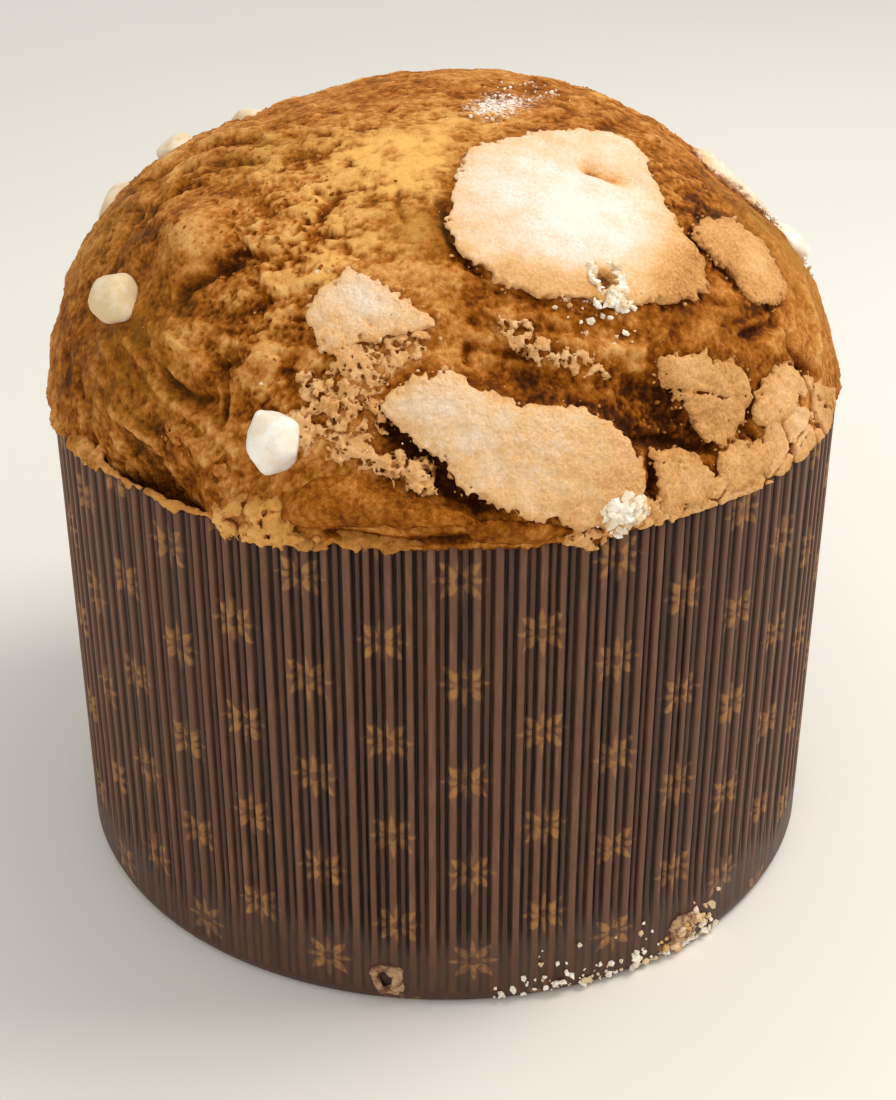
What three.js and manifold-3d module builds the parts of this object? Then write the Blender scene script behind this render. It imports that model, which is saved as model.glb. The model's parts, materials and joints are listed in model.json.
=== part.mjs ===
// A panettone: a tall, naturally leavened cake that has risen over the rim of its fluted paper mould, with broken
// plates of baked glaze and nuggets of pearl sugar on its domed top. Millimetres, +Z up. The origin is the middle of
// the mould's underside and the front looks along -Y. A place on the dome is a bearing, in degrees round from the
// front towards +X, and a lift, in degrees up from the level of the dome's hub.

import * as THREE from "three";
import { mergeVertices } from "three/addons/utils/BufferGeometryUtils.js";
import Module from "manifold-3d";

// ---- Driving dimensions, in millimetres and degrees ----

const GAP = 0.3; // clearance between pieces that touch

const MOULD = {
  radius: 85, // over the ridges of the flutes
  height: 109, // mean height of the rim
  rimWave: 0.5, // how far the baked rim wanders up and down
  wall: 1.4, // lining and flutes together
  floor: 1,
  edge: 2.5, // rounding where the wall meets the floor
  flutes: 131,
  fluteDepth: 0.8,
  ridgeShare: 0.4, // part of the pitch that is ridge
  fadeStart: 12, // the flutes start here and are at full depth at fadeEnd
  fadeEnd: 24,
};

// Two skewers went in side by side low down, so that the baked cake could hang upside down to cool.
const SKEWER = { radius: 1.6, height: 6.2, depth: 11, sides: 8, offsets: [-11.8, 51] };

const CAKE = {
  lip: 1.2, // height of the dome's lowest ring over the mould's mean rim
  edge: 4, // rounding round the foot
  columns: 72, // points in the widest ring
  step: 3.6, // lift from one ring of the dome to the next
};

const DOME = {
  hub: 97, // height of the point that lifts are measured from
  halfWidth: 86,
  rise: 68.5, // from the hub to the top
  fullness: 2.4, // 2 is an ellipse, more is squarer
  lowestLift: 9,
  lean: new THREE.Vector2(-3, 9), // how far the top has crept to the left and back
};

// Swellings and hollows of the risen dough: where, how wide (degrees) and how high.
const SWELLS = [
  { name: "flat left shoulder", bearing: -126, lift: 55, spread: 20, height: -3.2 },
  { name: "flat right shoulder", bearing: 100, lift: 38, spread: 13, height: -3.6 },
  { name: "knob of dough", bearing: -53, lift: 42, spread: 8, height: 2.2 },
  { name: "band under the top plate", bearing: 32, lift: 31, spread: 10, height: 1.6 },
  { name: "cleft under the band", bearing: 33, lift: 19, spread: 7, height: -2 },
  { name: "hollow behind the front plate", bearing: -6, lift: 23, spread: 7, height: -1.6 },
  { name: "tongue over the front rim", bearing: -4, lift: 10, spread: 8, height: 1 },
  { name: "tongue over the rim further left", bearing: -20, lift: 10, spread: 7, height: 0.8 },
  { name: "drawn-in front left rim", bearing: -40, lift: 6, spread: 9, height: -4 },
  { name: "drawn-in rim towards the left", bearing: -56, lift: 5, spread: 9, height: -2.5 },
  { name: "full left cheek", bearing: -66, lift: 20, spread: 13, height: 1 },
  { name: "full back", bearing: 170, lift: 25, spread: 25, height: 1.2 },
];

// Rolls and creases of the dough: a line from one place to another, how wide (degrees) and how high.
const FOLDS = [
  { name: "roll of dough over the front rim", from: [-30, 11], to: [9, 12], width: 3.5, height: 1.5 },
  { name: "roll under the top plate", from: [14, 34], to: [54, 27], width: 4, height: 1.2 },
  { name: "crease along the front plate", from: [4, 29], to: [27, 24], width: 3.5, height: -1.6 },
  { name: "crease between the patches", from: [27, 24], to: [43, 15], width: 3.5, height: -1.4 },
  { name: "comma crease on the left cheek", from: [-47, 22], to: [-35, 20], width: 3.5, height: -1.5 },
  { name: "upright crease on the left cheek", from: [-33, 28], to: [-32, 20], width: 3.5, height: -1.2 },
  { name: "edge of the left lobe", from: [-72, 42], to: [-62, 24], width: 4, height: -1.2 },
];

const PLATE = { points: 20, waist: 0.4, lowScale: 0.93, highScale: 0.95, highShare: 0.85, midScale: 0.5, bed: 0.5 };

// Plates of glaze: the middle's bearing and lift, the thickness, and an outline in millimetres to the right of and up
// from the middle, anticlockwise as seen from outside.
const GLAZE_PLATES = [
  {
    name: "glaze_plate_top",
    bearing: 34,
    lift: 49,
    thickness: 2.2,
    corners: [[-29, 4], [-25, -11], [-12, -19], [9, -23], [17, -17], [18, -2], [26, 12], [24, 20], [8, 25], [-14, 22]],
  },
  {
    name: "glaze_plate_front",
    bearing: 10,
    lift: 20,
    thickness: 2.2,
    corners: [[-25, 9], [-15, -2], [-8, -9], [8, -15], [23, -17], [24, -6], [19, 2], [12, 6], [-2, 8], [-12, 14]],
  },
  {
    name: "glaze_wedge_left",
    bearing: -10,
    lift: 34,
    thickness: 1.8,
    corners: [[-12, 3], [-7, -5], [0, -3], [7, -1], [12, 1], [0, 9], [-6, 10]],
  },
  {
    name: "glaze_plate_right",
    bearing: 61,
    lift: 33,
    thickness: 1.5,
    corners: [[-7, 2], [-12, -4], [-3, -8], [6, -7], [8, 2], [6, 9], [-1, 11]],
  },
  {
    name: "glaze_plate_back_right",
    bearing: 100,
    lift: 36,
    thickness: 2,
    corners: [[-9, 0], [-6, -6], [3, -8], [11, -5], [12, 4], [4, 9], [-6, 7]],
  },
  {
    name: "glaze_plate_back",
    bearing: 168,
    lift: 37,
    thickness: 2,
    corners: [[-17, 2], [-14, -9], [-2, -14], [11, -11], [17, 0], [12, 12], [-3, 15], [-13, 11]],
  },
  {
    name: "glaze_plate_back_left",
    bearing: -142,
    lift: 25,
    thickness: 1.8,
    corners: [[-14, 2], [-10, -8], [2, -10], [12, -5], [15, 5], [5, 9], [-7, 9]],
  },
  {
    name: "glaze_patch_high",
    bearing: 38,
    lift: 21,
    thickness: 1.5,
    corners: [[-8, 10], [-5, 0], [-1, -7], [5, -9], [10, -4], [11, 3]],
  },
  {
    name: "glaze_patch_outer",
    bearing: 52,
    lift: 17,
    thickness: 1.4,
    corners: [[-6, 4], [-9, -1], [-4, -4], [5, -3], [10, 2], [4, 6]],
  },
  {
    name: "glaze_patch_rim_left",
    bearing: 31,
    lift: 12,
    thickness: 1.5,
    corners: [[-5, 7], [-4, 0], [-7, -5], [2, -5], [8, -3], [9, 2], [2, 6]],
  },
  {
    name: "glaze_patch_rim_right",
    bearing: 42.5,
    lift: 11.5,
    thickness: 1.5,
    corners: [[-6, 3], [-6, -3], [0, -4], [6, -3], [7, 0], [3, 4], [-2, 5]],
  },
];

const NUGGET = { rings: 5, points: 9, faces: 12, crispness: 8, irregularity: 0.22, sunk: 0.62 };

// Nuggets of pearl sugar: where they sit, their width, height and thickness, and a number that sets their facets.
const SUGAR_NUGGETS = [
  { name: "sugar_nugget_left", bearing: -56.5, lift: 28.5, size: [13, 12, 9], facets: 1 },
  { name: "sugar_nugget_front", bearing: -21.5, lift: 19, size: [12, 13, 8], facets: 2 },
  { name: "sugar_nugget_back_left_top", bearing: -122, lift: 50, size: [9, 10, 7], facets: 3 },
  { name: "sugar_nugget_back_left_high", bearing: -104, lift: 43, size: [10, 9, 7], facets: 4 },
  { name: "sugar_nugget_back_left_low", bearing: -95, lift: 33, size: [9, 11, 7], facets: 5 },
  { name: "sugar_nugget_back_right", bearing: 93, lift: 26, size: [10, 11, 7], facets: 6 },
  { name: "sugar_nugget_back_mid", bearing: -170, lift: 25, size: [11, 10, 7], facets: 7 },
  { name: "sugar_nugget_back_low", bearing: 134, lift: 22, size: [10, 10, 7], facets: 8 },
];

const CRUST_LOOK = { color: 0xa8682c, roughness: 0.75, metalness: 0 };
const PAPER_LOOK = { color: 0x5a3a30, roughness: 0.6, metalness: 0 };
const GLAZE_LOOK = { color: 0xd8ab78, roughness: 0.85, metalness: 0 };
const SUGAR_LOOK = { color: 0xf2e9d8, roughness: 0.5, metalness: 0 };

const RIGHT_ANGLE = 90;

// ---- Directions and the surface of the dome ----

// The unit direction from the hub at a bearing and a lift.
function direction(bearing, lift) {
  const turn = THREE.MathUtils.degToRad(bearing);
  const rise = THREE.MathUtils.degToRad(lift);
  return new THREE.Vector3(
    Math.sin(turn) * Math.cos(rise),
    -Math.cos(turn) * Math.cos(rise),
    Math.sin(rise),
  );
}

const swellCentres = SWELLS.map((swell) => direction(swell.bearing, swell.lift));
const foldLines = FOLDS.map(({ from, to }) => new THREE.Line3(direction(...from), direction(...to)));

// The share of a swelling that is left at an angle away from its middle.
function bell(away, spread) {
  return Math.exp(-((away / spread) ** 2));
}

// How far the dough reaches from the hub along a direction.
function domeReach(out) {
  const level = Math.hypot(out.x, out.y) / DOME.halfWidth;
  const upright = Math.max(out.z, 0) / DOME.rise;
  let reach = (level ** DOME.fullness + upright ** DOME.fullness) ** (-1 / DOME.fullness);
  SWELLS.forEach((swell, i) => {
    const away = THREE.MathUtils.radToDeg(out.angleTo(swellCentres[i]));
    reach += swell.height * bell(away, swell.spread);
  });
  FOLDS.forEach((fold, i) => {
    const nearest = foldLines[i].closestPointToPoint(out, true, new THREE.Vector3());
    const away = THREE.MathUtils.radToDeg(out.angleTo(nearest));
    reach += fold.height * bell(away, fold.width);
  });
  return reach;
}

// How far the leaning dough has moved sideways at a height over the hub.
function leanAt(height) {
  const share = (height / DOME.rise) ** 2;
  return new THREE.Vector3(DOME.lean.x * share, DOME.lean.y * share, 0);
}

// A point on the dome, or raised over it.
function onDome(out, raised = 0) {
  const point = out.clone().multiplyScalar(domeReach(out) + raised);
  point.add(leanAt(point.z));
  point.z += DOME.hub;
  return point;
}

// A flat frame on the dome: across and up are millimetres from its middle, and each place is put back on the dome.
function domeFrame(bearing, lift) {
  const out = direction(bearing, lift);
  const middle = out.clone().multiplyScalar(domeReach(out));
  const right = direction(bearing + RIGHT_ANGLE, 0);
  const up = new THREE.Vector3().crossVectors(out, right);
  return function place(across, along, raised) {
    const aim = middle.clone().addScaledVector(right, across).addScaledVector(up, along).normalize();
    const lowest = Math.sin(THREE.MathUtils.degToRad(DOME.lowestLift));
    aim.z = Math.max(aim.z, lowest);
    return onDome(aim.normalize(), raised);
  };
}

// ---- Rings and the closed bodies made of them ----

// A ring of points, each at a turn from 0 to 1 round the body.
function ring(turns, place) {
  return { turns, points: turns.map(place) };
}

function evenTurns(count) {
  return Array.from({ length: count }, (_, i) => i / count);
}

// A ring of one point closes a body at either end.
function pole(point) {
  return { turns: [0], points: [point] };
}

// The turn of the point after index i, past 1 where the ring closes.
function nextTurn(turns, i) {
  return i + 1 < turns.length ? turns[i + 1] : turns[0] + 1;
}

// Joins two rings, of any numbers of points, by a band of triangles.
function zipRings(low, high, lowStart, highStart, faces) {
  const lowCount = low.turns.length;
  const highCount = high.turns.length;
  const lowSteps = lowCount === 1 ? 0 : lowCount;
  const highSteps = highCount === 1 ? 0 : highCount;
  let i = 0;
  let j = 0;
  while (i < lowSteps || j < highSteps) {
    const lowNext = i < lowSteps ? nextTurn(low.turns, i) : Infinity;
    const highNext = j < highSteps ? nextTurn(high.turns, j) : Infinity;
    const a = lowStart + (i % lowCount);
    const b = highStart + (j % highCount);
    if (lowNext <= highNext) {
      faces.push(a, lowStart + ((i + 1) % lowCount), b);
      i += 1;
    } else {
      faces.push(a, highStart + ((j + 1) % highCount), b);
      j += 1;
    }
  }
}

// The closed body through a list of rings that runs from a pole to a pole.
function ringBody(rings) {
  const positions = [];
  const faces = [];
  const starts = [];
  for (const { points } of rings) {
    starts.push(positions.length / 3);
    points.forEach((point) => positions.push(point.x, point.y, point.z));
  }
  for (let i = 0; i + 1 < rings.length; i += 1) {
    zipRings(rings[i], rings[i + 1], starts[i], starts[i + 1], faces);
  }
  const geometry = new THREE.BufferGeometry();
  geometry.setAttribute("position", new THREE.Float32BufferAttribute(positions, 3));
  geometry.setIndex(faces);
  geometry.computeVertexNormals();
  return geometry;
}

// A point at a distance from the axis, at a turn round it and a height.
function around(turn, radius, height) {
  return direction(turn * 360, 0).multiplyScalar(radius).setZ(height);
}

// ---- Cutting with manifold-3d ----

const wasm = await Module();
wasm.setup();

function toSolid(geometry) {
  const bare = geometry.clone();
  bare.deleteAttribute("normal");
  bare.deleteAttribute("uv");
  const merged = mergeVertices(bare);
  return new wasm.Manifold(
    new wasm.Mesh({
      numProp: 3,
      vertProperties: new Float32Array(merged.attributes.position.array),
      triVerts: new Uint32Array(merged.index.array),
    }),
  );
}

function fromSolid(solid) {
  const mesh = solid.getMesh();
  const geometry = new THREE.BufferGeometry();
  geometry.setAttribute("position", new THREE.BufferAttribute(mesh.vertProperties, 3));
  geometry.setIndex(new THREE.BufferAttribute(mesh.triVerts, 1));
  geometry.computeVertexNormals();
  return geometry;
}

// The pegs that the skewers took up, in through the wall at the front and out at the back.
function skewerPegs() {
  const pegs = [];
  for (const x of SKEWER.offsets) {
    for (const side of [-1, 1]) {
      const peg = new THREE.CylinderGeometry(SKEWER.radius, SKEWER.radius, 2 * SKEWER.depth, SKEWER.sides);
      const wallY = side * Math.sqrt(MOULD.radius ** 2 - x ** 2);
      peg.translate(x, wallY, SKEWER.height);
      pegs.push(peg);
    }
  }
  return pegs;
}

function withSkewerHoles(geometry) {
  let solid = toSolid(geometry);
  for (const peg of skewerPegs()) {
    solid = solid.subtract(toSolid(peg));
  }
  return fromSolid(solid);
}

// ---- The pieces ----

// The rim is not level: it rose and fell a little as the dough pushed over it.
function rimHeight(turn) {
  const round = turn * 2 * Math.PI;
  const wave = Math.sin(3 * round + 1) + 0.6 * Math.sin(7 * round + 2.4) + 0.4 * Math.sin(13 * round);
  return MOULD.height + (MOULD.rimWave * wave) / 2;
}

// Three points to a flute: the valley, then the two edges of the flat ridge.
function fluteTurns() {
  const ridgeStart = (1 - MOULD.ridgeShare) / 2;
  const ridgeEnd = (1 + MOULD.ridgeShare) / 2;
  const turns = [];
  for (let flute = 0; flute < MOULD.flutes; flute += 1) {
    for (const share of [0, ridgeStart, ridgeEnd]) {
      turns.push((flute + share) / MOULD.flutes);
    }
  }
  return turns;
}

function paperMould() {
  const plain = evenTurns(MOULD.flutes);
  const fluted = fluteTurns();
  const inner = MOULD.radius - MOULD.wall;
  const fluteFoot = MOULD.fadeStart;
  const fluteRadius = (turn) => {
    const share = (turn * MOULD.flutes) % 1;
    const inValley = Math.min(share, 1 - share) < MOULD.ridgeShare / 4;
    return MOULD.radius - (inValley ? MOULD.fluteDepth : 0);
  };
  return withSkewerHoles(
    ringBody([
      pole(new THREE.Vector3(0, 0, 0)),
      ring(plain, (turn) => around(turn, MOULD.radius - MOULD.edge, 0)),
      ring(plain, (turn) => around(turn, MOULD.radius - 0.3 * MOULD.edge, 0.3 * MOULD.edge)),
      ring(plain, (turn) => around(turn, MOULD.radius, MOULD.edge)),
      ring(plain, (turn) => around(turn, MOULD.radius, fluteFoot)),
      ring(fluted, (turn) => around(turn, fluteRadius(turn), MOULD.fadeEnd)),
      ring(fluted, (turn) => around(turn, fluteRadius(turn), rimHeight(turn))),
      ring(plain, (turn) => around(turn, inner, rimHeight(turn))),
      ring(plain, (turn) => around(turn, inner, MOULD.floor + MOULD.edge)),
      ring(plain, (turn) => around(turn, inner - MOULD.edge, MOULD.floor)),
      pole(new THREE.Vector3(0, 0, MOULD.floor)),
    ]),
  );
}

function cake() {
  const body = evenTurns(CAKE.columns);
  const side = MOULD.radius - MOULD.wall - GAP;
  const foot = MOULD.floor + GAP;
  const rings = [
    pole(new THREE.Vector3(0, 0, foot)),
    ring(body, (turn) => around(turn, side - CAKE.edge, foot)),
    ring(body, (turn) => around(turn, side, foot + CAKE.edge)),
    ring(body, (turn) => around(turn, side, MOULD.height + CAKE.lip)),
  ];
  for (let lift = DOME.lowestLift; lift < RIGHT_ANGLE - CAKE.step / 2; lift += CAKE.step) {
    const share = Math.cos(THREE.MathUtils.degToRad(lift));
    const count = Math.max(8, Math.round(CAKE.columns * share));
    rings.push(ring(evenTurns(count), (turn) => onDome(direction(turn * 360, lift))));
  }
  rings.push(pole(onDome(direction(0, RIGHT_ANGLE))));
  return withSkewerHoles(ringBody(rings));
}

// A plate lies on the dome: an under side, a rounded waist and a top side that all follow the dough below.
function glazePlate({ bearing, lift, thickness, corners }) {
  const place = domeFrame(bearing, lift);
  const outline = new THREE.CatmullRomCurve3(corners.map(([x, y]) => new THREE.Vector3(x, y, 0)), true);
  const turns = evenTurns(PLATE.points);
  const band = (scale, raised) => {
    return ring(turns, (turn) => {
      const corner = outline.getPoint(turn);
      return place(scale * corner.x, scale * corner.y, PLATE.bed + raised);
    });
  };
  return ringBody([
    pole(place(0, 0, PLATE.bed)),
    band(PLATE.midScale, 0),
    band(PLATE.lowScale, 0),
    band(1, PLATE.waist * thickness),
    band(PLATE.highScale, PLATE.highShare * thickness),
    band(PLATE.midScale, thickness),
    pole(place(0, 0, PLATE.bed + thickness)),
  ]);
}

// The faces of a nugget point in directions spread evenly by the golden angle and then jostled.
function nuggetFaces(facets) {
  const golden = Math.PI * (3 - Math.sqrt(5));
  return Array.from({ length: NUGGET.faces }, (_, i) => {
    const z = 1 - (2 * (i + 0.5)) / NUGGET.faces;
    const round = golden * i + facets;
    const flat = Math.sqrt(1 - z * z);
    const jostle = Math.sin(12.9 * (i + 1) + 78.2 * facets);
    return {
      normal: new THREE.Vector3(flat * Math.cos(round), flat * Math.sin(round), z),
      distance: 1 - NUGGET.irregularity * jostle * jostle,
    };
  });
}

// A nugget is a soft-edged lump with flat faces, part sunk into the crust and flat underneath.
function sugarNugget({ bearing, lift, size, facets }) {
  const place = domeFrame(bearing, lift);
  const faces = nuggetFaces(facets);
  const [width, height, thickness] = size;
  const reach = (out) => {
    const pressed = faces.map((face) => Math.max(0, out.dot(face.normal)) / face.distance);
    return pressed.reduce((sum, share) => sum + share ** NUGGET.crispness, 0) ** (-1 / NUGGET.crispness);
  };
  const surface = (turn, lean) => {
    const out = direction(turn * 360, lean);
    const spot = out.multiplyScalar(reach(out) / 2);
    const raised = thickness * (spot.z + NUGGET.sunk - 0.5);
    return place(width * spot.x, height * spot.y, Math.max(PLATE.bed, raised));
  };
  const rings = [pole(surface(0, -RIGHT_ANGLE))];
  for (let i = 1; i <= NUGGET.rings; i += 1) {
    const lean = RIGHT_ANGLE * ((2 * i) / (NUGGET.rings + 1) - 1);
    rings.push(ring(evenTurns(NUGGET.points), (turn) => surface(turn, lean)));
  }
  rings.push(pole(surface(0, RIGHT_ANGLE)));
  return ringBody(rings);
}

function piece(name, geometry, look) {
  const mesh = new THREE.Mesh(geometry, new THREE.MeshStandardMaterial(look));
  mesh.name = name;
  return mesh;
}

const panettone = new THREE.Group();
panettone.add(piece("paper_mould", paperMould(), PAPER_LOOK));
panettone.add(piece("cake", cake(), CRUST_LOOK));
for (const plate of GLAZE_PLATES) {
  panettone.add(piece(plate.name, glazePlate(plate), GLAZE_LOOK));
}
for (const nugget of SUGAR_NUGGETS) {
  panettone.add(piece(nugget.name, sugarNugget(nugget), SUGAR_LOOK));
}

export default panettone;
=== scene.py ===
"""Panettone in its fluted paper mould: the fine surface of the crust, glaze, sugar and paper.

Forms are worked out in millimetres from the hub of the dome and from the axis of the mould, and
become metres when a mesh is made.
"""

import json
import logging
import math
from dataclasses import dataclass, field
from enum import Enum
from itertools import combinations
from typing import Callable, Sequence

import bpy
import numpy as np
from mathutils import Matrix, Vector

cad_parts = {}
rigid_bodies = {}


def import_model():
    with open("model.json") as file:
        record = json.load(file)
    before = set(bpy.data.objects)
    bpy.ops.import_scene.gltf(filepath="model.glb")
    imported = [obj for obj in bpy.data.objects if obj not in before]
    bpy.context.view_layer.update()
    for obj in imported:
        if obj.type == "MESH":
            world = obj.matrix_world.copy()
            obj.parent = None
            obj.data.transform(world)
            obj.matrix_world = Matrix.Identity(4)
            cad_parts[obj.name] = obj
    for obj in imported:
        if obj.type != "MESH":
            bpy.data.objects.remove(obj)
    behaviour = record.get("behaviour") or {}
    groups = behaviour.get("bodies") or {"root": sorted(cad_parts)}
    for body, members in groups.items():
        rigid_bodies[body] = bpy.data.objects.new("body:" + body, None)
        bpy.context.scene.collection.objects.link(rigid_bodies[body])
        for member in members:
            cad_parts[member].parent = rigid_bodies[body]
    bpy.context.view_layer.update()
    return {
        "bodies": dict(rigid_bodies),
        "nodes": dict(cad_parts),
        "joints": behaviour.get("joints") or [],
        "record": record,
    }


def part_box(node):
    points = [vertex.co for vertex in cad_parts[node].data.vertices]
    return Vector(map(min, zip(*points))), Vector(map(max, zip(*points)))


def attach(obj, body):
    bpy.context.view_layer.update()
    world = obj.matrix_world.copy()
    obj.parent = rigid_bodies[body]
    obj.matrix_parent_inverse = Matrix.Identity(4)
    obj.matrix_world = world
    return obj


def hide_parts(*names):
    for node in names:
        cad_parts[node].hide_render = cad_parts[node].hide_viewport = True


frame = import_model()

MM = 0.001
BODY = "root"

Array = np.ndarray
Point = tuple[float, float]
Corners = tuple[Point, ...]
Spot = tuple[float, float, float]
Colour = tuple[int, int, int]
Piece = bpy.types.Object
Material = bpy.types.Material
Socket = bpy.types.NodeSocket
Sockets = bpy.types.NodeOutputs
NodeTree = bpy.types.NodeTree
Masks = dict[str, Array]

log = logging.getLogger("panettone")


# ---- Sizes taken from the frame ----


def box_mm(node: str) -> tuple[Array, Array]:
    """Give the corners of a frame node in millimetres.

    Args:
        node: Name of the node.

    Returns:
        The lowest and the highest corner.
    """
    low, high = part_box(node)
    return np.array(low) / MM, np.array(high) / MM


MOULD_LOW, MOULD_HIGH = box_mm("paper_mould")
MOULD_RADIUS = round((MOULD_HIGH[0] - MOULD_LOW[0]) / 2, 0)
WALL = 1.4
GAP = 0.3
FOOT_ROUNDING = 2.5
OFF_FLOOR = 0.05
CAKE_SIDE = MOULD_RADIUS - WALL - GAP
RIM_HEIGHT = 109.0
UP = np.array([0, 0, 1])


# ---- Smooth random fields ----


class Grain:
    """Random fields over space that come out the same on every run."""

    TABLE = 256

    def __init__(self, seed: int) -> None:
        """Draw the table of slopes.

        Args:
            seed: Number that sets the field.
        """
        draw = np.random.default_rng(seed)
        self.order = np.tile(draw.permutation(self.TABLE), 3)
        slopes = draw.normal(size=(self.TABLE, 3))
        self.slopes = slopes / np.linalg.norm(slopes, axis=1, keepdims=True)
        self.spots = draw.random((self.TABLE, 3))
        self.levels = draw.random(self.TABLE)

    def _hash(self, cell: Array) -> Array:
        """Give each whole cell its place in the table."""
        a = self.order[cell[..., 0] % self.TABLE]
        b = self.order[(a + cell[..., 1]) % self.TABLE]
        return self.order[(b + cell[..., 2]) % self.TABLE]

    def smooth(self, points: Array, size: float) -> Array:
        """Give gradient noise of about -1 to 1.

        Args:
            points: Places, one a row, in millimetres.
            size: Width of a lump in millimetres.

        Returns:
            One value for each place.
        """
        spot = points / size
        cell = np.floor(spot).astype(int)
        inner = spot - cell
        ease = inner**3 * (inner * (inner * 6 - 15) + 10)
        total = np.zeros(len(points))
        for corner in np.ndindex(2, 2, 2):
            away = inner - corner
            slope = self.slopes[self._hash(cell + corner)]
            weight = np.prod(np.where(corner, ease, 1 - ease), axis=1)
            total += weight * np.einsum("ij,ij->i", slope, away)
        return total * 1.6

    def layered(self, points: Array, size: float, layers: int = 3, keep: float = 0.5) -> Array:
        """Sum noise of ever finer size.

        Args:
            points: Places, one a row, in millimetres.
            size: Width of the largest lumps in millimetres.
            layers: How many sizes are summed, each half the last.
            keep: Share of its height that each finer size keeps.

        Returns:
            One value for each place.
        """
        total = np.zeros(len(points))
        for layer in range(layers):
            shifted = points + 17.3 * layer
            total += self.smooth(shifted, size / 2**layer) * keep**layer
        return total

    def ridged(self, points: Array, size: float, layers: int = 2, keep: float = 0.5) -> Array:
        """Give sharp crests at 1 that fall to 0 between them.

        Args:
            points: Places, one a row, in millimetres.
            size: Spacing of the crests in millimetres.
            layers: How many sizes are summed.
            keep: Share of its height that each finer size keeps.

        Returns:
            One value for each place.
        """
        total = np.zeros(len(points))
        share = 0.0
        for layer in range(layers):
            part = 1 - np.abs(self.smooth(points + 9.1 * layer, size / 2**layer)) * 1.6
            total += np.clip(part, 0, 1) * keep**layer
            share += keep**layer
        return total / share

    def cells(self, points: Array, size: float) -> tuple[Array, Array, Array]:
        """Measure to the nearest and second nearest of scattered spots.

        Args:
            points: Places, one a row, in millimetres.
            size: Spacing of the spots in millimetres.

        Returns:
            The two distances in millimetres and the nearest spot's own level from 0 to 1.
        """
        spot = points / size
        cell = np.floor(spot).astype(int)
        first = np.full(len(points), 9.0)
        second = np.full(len(points), 9.0)
        level = np.zeros(len(points))
        for step in np.ndindex(3, 3, 3):
            near = cell + np.array(step) - 1
            row = self._hash(near)
            away = np.linalg.norm(near + self.spots[row] - spot, axis=1)
            closer = away < first
            second = np.where(closer, first, np.minimum(second, away))
            level = np.where(closer, self.levels[row], level)
            first = np.minimum(first, away)
        return first * size, second * size, level


GRAIN = Grain(7)
CRUMB_GRAIN = Grain(23)


def smoothstep(value: Array, low: float, high: float) -> Array:
    """Ease from 0 at low to 1 at high."""
    share = np.clip((value - low) / (high - low), 0, 1)
    return share * share * (3 - 2 * share)


def bell(away: Array, spread: float) -> Array:
    """Fall smoothly from 1 as the distance grows past the spread."""
    return np.exp(-((away / spread) ** 2))


# ---- The form of the dome ----


@dataclass(frozen=True)
class Swell:
    """A place where the dough bulges or sinks, or where a tint lies."""

    bearing: float
    lift: float
    spread: float
    height: float

    def nearness(self, out: Array) -> Array:
        """Give 1 in its middle, falling to 0 past its spread."""
        return bell(degrees_between(out, directions(self.bearing, self.lift)[0]), self.spread)


def swells(*rows: tuple[float, float, float, float]) -> tuple[Swell, ...]:
    """Make swells from their bearings, lifts, spreads and heights."""
    return tuple(Swell(*row) for row in rows)


@dataclass(frozen=True)
class Fold:
    """A roll or crease of dough between two places on the dome."""

    start: Point
    end: Point
    width: float
    height: float


@dataclass(frozen=True)
class Line:
    """A fine ridge, or with a negative height a crease, through places on the dome."""

    width: float
    height: float
    path: Sequence[Point]

    def nearness(self, out: Array) -> Array:
        """Give 1 on the line, falling to 0 past its width."""
        runs = [Fold(start, end, self.width, self.height) for start, end in zip(self.path, self.path[1:])]
        return bell(np.min([fold_distance(out, run) for run in runs], axis=0), self.width)


def lines(*rows: tuple) -> tuple[Line, ...]:
    """Make lines from their widths, heights and the places that they run through."""
    return tuple(Line(width, height, path) for width, height, *path in rows)


SWELLS = swells(
    (-126, 55, 20, -3.2), (100, 38, 13, -3.6), (-53, 42, 8, 2.2), (32, 31, 10, 1.6), (33, 19, 7, -2),
    (-6, 23, 7, -1.6), (-4, 10, 8, 1), (-20, 10, 7, 0.8), (-40, 6, 9, -4), (-56, 5, 9, -2.5),
    (-66, 20, 13, 1), (170, 25, 25, 1.2),
)

FOLDS = (
    Fold((-30, 11), (9, 12), 3.5, 1.5),
    Fold((14, 34), (54, 27), 4, 1.2),
    Fold((4, 29), (27, 24), 3.5, -1.6),
    Fold((27, 24), (43, 15), 3.5, -1.4),
    Fold((-47, 22), (-35, 20), 3.5, -1.5),
    Fold((-33, 28), (-32, 20), 3.5, -1.2),
    Fold((-72, 42), (-62, 24), 4, -1.2),
)


# Only the fine surface has these: the gap at the front left, where the dough shrank from the paper.
FINE_SWELLS = swells(
    (-43, 6.5, 6, -2.0), (-35, 7, 3.5, -1.6), (-47, 41.5, 5.5, 2.2), (-38, 37, 3.2, -1.6),
    (-55, 34.5, 3.5, -1.3), (-58, 47, 4.5, -1.2), (-27, 28.5, 2.6, 1.3), (-4, 19, 3.5, -1.6),
    (30, 20, 6, -0.8), (60, 22, 5, 0.8),
)

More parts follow.
